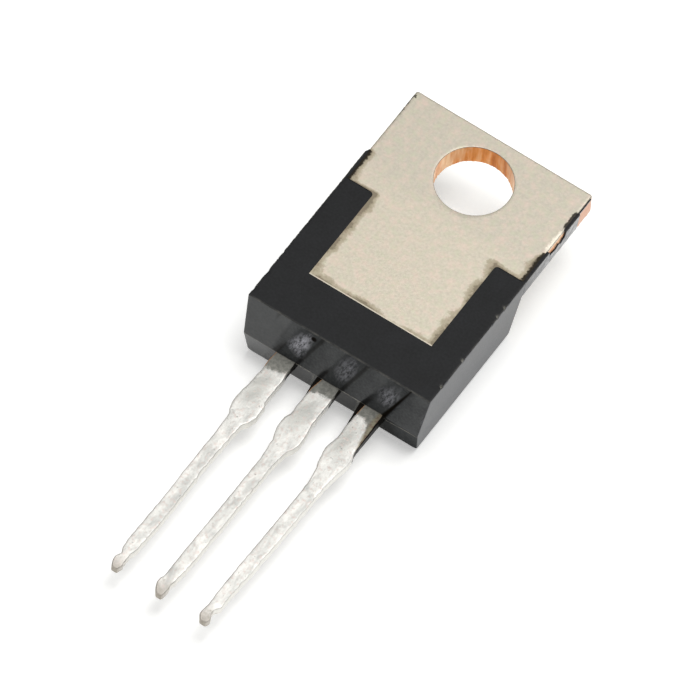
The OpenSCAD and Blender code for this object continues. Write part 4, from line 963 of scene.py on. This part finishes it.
def leadGrid(edges, s, centre, path=None, post=0, slot=0):
    # Sections are rectangles with rounded corners, carried down the path and stretched between
    # the left and right edges. The corner grows from the crisp root to the soldered length and
    # to the rounded tip, which is cut off flat, and the solder lies on the flats as a crown with
    # low waves.
    y = np.concatenate([np.arange(-s["postStart"], 12.1, 0.05), np.arange(12.1, 26.5, 0.04),
                        [26.5, 26.53, 26.545]]) * -1
    left = np.interp(-y, *np.array([(-a, b) for a, b in edges["left"]]).T)
    right = np.interp(-y, *np.array([(-a, b) for a, b in edges["right"]]).T)
    out = ease((-y - 12.3) / 0.6)                     # 0 inside the body, 1 outside it
    slim = ease((-y - 16.3) / 0.8)
    seed = edges["seed"]
    left = left + out * (0.004 * ripple(y, 0 * y, 0.9, seed) + s["teeth"][0] * jagged(y, 0.16, seed))
    right = right + out * (0.005 * ripple(y, 0 * y, 0.8, seed + 10)
                           + s["teeth"][1] * jagged(y, 0.12, seed + 10) * (0.4 + 0.6 * slim))
    if post:
        wide = np.interp(-y, [9.9, -s["postEnd"], -s["postNeck"]], [1, 1, 0])
        near = s["pitch"] - s["postInner"]
        far = s["postInner"] + s["postWidth"] - s["pitch"]
        a, b = (near, far) if post > 0 else (far, near)
        left = np.where(-y < 11.35, s["rootHalf"] + (a - s["rootHalf"]) * wide, left)
        right = np.where(-y < 11.35, s["rootHalf"] + (b - s["rootHalf"]) * wide, right)
    pathY, pathZ = (y, np.full_like(y, s["level"])) if path is None else path(y)
    stepY, stepZ = np.gradient(pathY), np.gradient(pathZ)
    size = np.hypot(stepY, stepZ)
    upY, upZ = stepZ / size, -stepY / size            # out of the back face
    tip = ease((-y - 25.2) / 0.8)
    end = np.interp(-y, [26.3, 26.5, 26.545], [1, 0.97, 0.9])
    shareX, shareZ, wayX, wayZ = (v[None] for v in sectionLoop())
    half = ((right + left) / 2 * end)[:, None]
    thick = (s["thickness"] / 2 * (1 - 0.08 * tip) * end)[:, None]
    corner = s["corner"] + (s["solderCorner"] - s["corner"]) * out + 0.015 * tip
    corner = np.minimum(corner[:, None], np.minimum(half, thick) * 0.95)
    flat = shareX * (half - corner) + wayX * corner
    high = shareZ * (thick - corner) + wayZ * corner
    u = flat / np.maximum(half, 1e-6)
    swell = s["crown"] + s["waves"] * ripple(y[:, None] * 0.7, flat + 3 * (high > 0), 0.9, seed + 20)
    high = high + (out * (1 - tip))[:, None] * np.sign(high) * (np.abs(wayZ) > 0.99) * (1 - u ** 4) * swell
    flat = flat + (right - left)[:, None] / 2
    points = np.stack([centre + flat, pathY[:, None] + high * upY[:, None], pathZ[:, None] + high * upZ[:, None]], -1)
    caps = [np.broadcast_to(points[k:k + 1].mean(1, keepdims=True), points[:1].shape) for k in (0, len(y) - 1)]
    points = np.concatenate([caps[0], points, caps[1]])
    border = np.interp(u, *np.array(edges["solderFrom"], float).T)
    covered = ease((border - y[:, None]) / 0.4 + 0.5)
    stained = (wayX > 0.4) * (high < 0.02) * (1 - ease((edges["stainTo"] - y[:, None]) / 0.2))
    filmFrom = np.interp(-y, *np.array([(-a, b) for a, b in edges["film"]]).T)[:, None]
    film = ease((u - filmFrom) / 0.5 + 0.2) * (high > 0) + 0.45 * ease((-y[:, None] - 26.53) / 0.01)
    values = {"solder": covered, "stain": stained, "film": film, "across": u}
    values = {key: np.concatenate([field[:1], field, field[-1:]]) for key, field in values.items()}
    return {"points": points, "wrap": (False, True), "slot": slot, "values": values}


def centrePath(y):
    # inside the resin the strip runs level under the pad, steps down at 50 degrees and runs level again
    knots = np.array([(-8.9, -1.02), (-9.65, -1.02), (-9.9, -1.16), (-11.0, -2.7), (-11.3, -2.85), (-27.0, -2.85)])
    share = np.interp(-y, [9.9, 12.1], [8.9, 12.1])
    where = np.where(-y < 12.1, -share, y)
    z = np.interp(-where, -knots[:, 0], knots[:, 1])
    return where, z


tabWithCentreLead = buildPiece(
    "tabWithCentreLead",
    [tabGrid(tabShape), leadGrid(leadEdges["ground"], leadShape, 0.0, centrePath, slot=1)], [nickel, solder])
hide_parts("tab_with_centre_lead")

inputLead = buildPiece("inputLead", [leadGrid(leadEdges["input"], leadShape, 2.54, post=1)], [solder])
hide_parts("input_lead")

outputLead = buildPiece("outputLead", [leadGrid(leadEdges["output"], leadShape, -2.54, post=-1)], [solder])
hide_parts("output_lead")


innerFinishes = {
    "chip": siliconPolished, "chip_solder": softSolderCast, "input_wire": aluminiumDrawn,
    "output_wire_1": aluminiumDrawn, "output_wire_2": aluminiumDrawn, "ground_wire": aluminiumDrawn,
    "moulded_body": epoxy, "tab_with_centre_lead": nickel, "input_lead": solder, "output_lead": solder,
}
for node, finish in innerFinishes.items():
    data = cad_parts[node].data
    data.materials.clear()
    data.materials.append(finish)
print("pieces inside the body finished")


stageLook = {
    "floorLevel": -4.5, "floorHalf": 900.0, "floor": "#f4f4f2", "floorGlow": 0.35,
    "sky": 0.5, "keyPower": 1.25, "keyPlace": (45.0, 85.0, 430.0), "keySize": 0.3,
}


def makeStage(look):
    mesh = bpy.data.meshes.new("floor")
    h, z = look["floorHalf"] / 1000, look["floorLevel"] / 1000
    mesh.from_pydata([(-h, -h, z), (h, -h, z), (h, h, z), (-h, h, z)], [], [(0, 1, 2, 3)])
    material = bpy.data.materials.new("whitePaperMatt")      # matt white paper, which hides its own gloss
    material.use_nodes = True
    tree = material.node_tree
    tree.nodes.clear()
    paper = addNode(tree, "ShaderNodeBsdfDiffuse", {"Color": linear(look["floor"])}).outputs[0]
    rays = addNode(tree, "ShaderNodeLightPath").outputs
    seen = addNode(tree, "ShaderNodeMath", {"operation": "MAXIMUM"},
                   {0: rays["Is Camera Ray"], 1: rays["Is Glossy Ray"]}).outputs[0]
    seen = addNode(tree, "ShaderNodeMath", {"operation": "MAXIMUM"},
                   {0: seen, 1: rays["Is Transmission Ray"]}).outputs[0]
    glow = addNode(tree, "ShaderNodeMath", {"operation": "MULTIPLY", 1: look["floorGlow"]}, {0: seen}).outputs[0]
    light = addNode(tree, "ShaderNodeEmission", {}, {"Strength": glow}).outputs[0]
    both = addNode(tree, "ShaderNodeAddShader", {}, {0: paper, 1: light}).outputs[0]
    addNode(tree, "ShaderNodeOutputMaterial", {}, {"Surface": both})
    mesh.materials.append(material)
    floor = bpy.data.objects.new("floor", mesh)
    bpy.context.scene.collection.objects.link(floor)

    world = bpy.data.worlds.new("studio")
    bpy.context.scene.world = world
    world.use_nodes = True
    tree = world.node_tree
    tree.nodes.clear()
    rays = addNode(tree, "ShaderNodeLightPath").outputs
    level = addNode(tree, "ShaderNodeMapRange", {"To Min": look["sky"], "To Max": 1.0},
                    {"Value": rays["Is Camera Ray"]}).outputs[0]
    sky = addNode(tree, "ShaderNodeBackground", {}, {"Strength": level}).outputs[0]
    addNode(tree, "ShaderNodeOutputWorld", {}, {"Surface": sky})

    data = bpy.data.lights.new("key", "AREA")
    data.shape, data.size, data.energy = "DISK", look["keySize"], look["keyPower"]
    lamp = bpy.data.objects.new("key", data)
    place = np.array(look["keyPlace"]) / 1000
    back = place - np.array([0, -0.009, 0])
    back /= np.linalg.norm(back)
    right = np.cross([0, 1, 0], back)
    right /= np.linalg.norm(right)
    matrix = np.eye(4)
    matrix[:3, 0], matrix[:3, 1], matrix[:3, 2], matrix[:3, 3] = right, np.cross(back, right), back, place
    lamp.matrix_world = Matrix(matrix.tolist())
    bpy.context.scene.collection.objects.link(lamp)


makeStage(stageLook)
bpy.context.scene.view_settings.view_transform = "Standard"
print("stage and lamps placed")
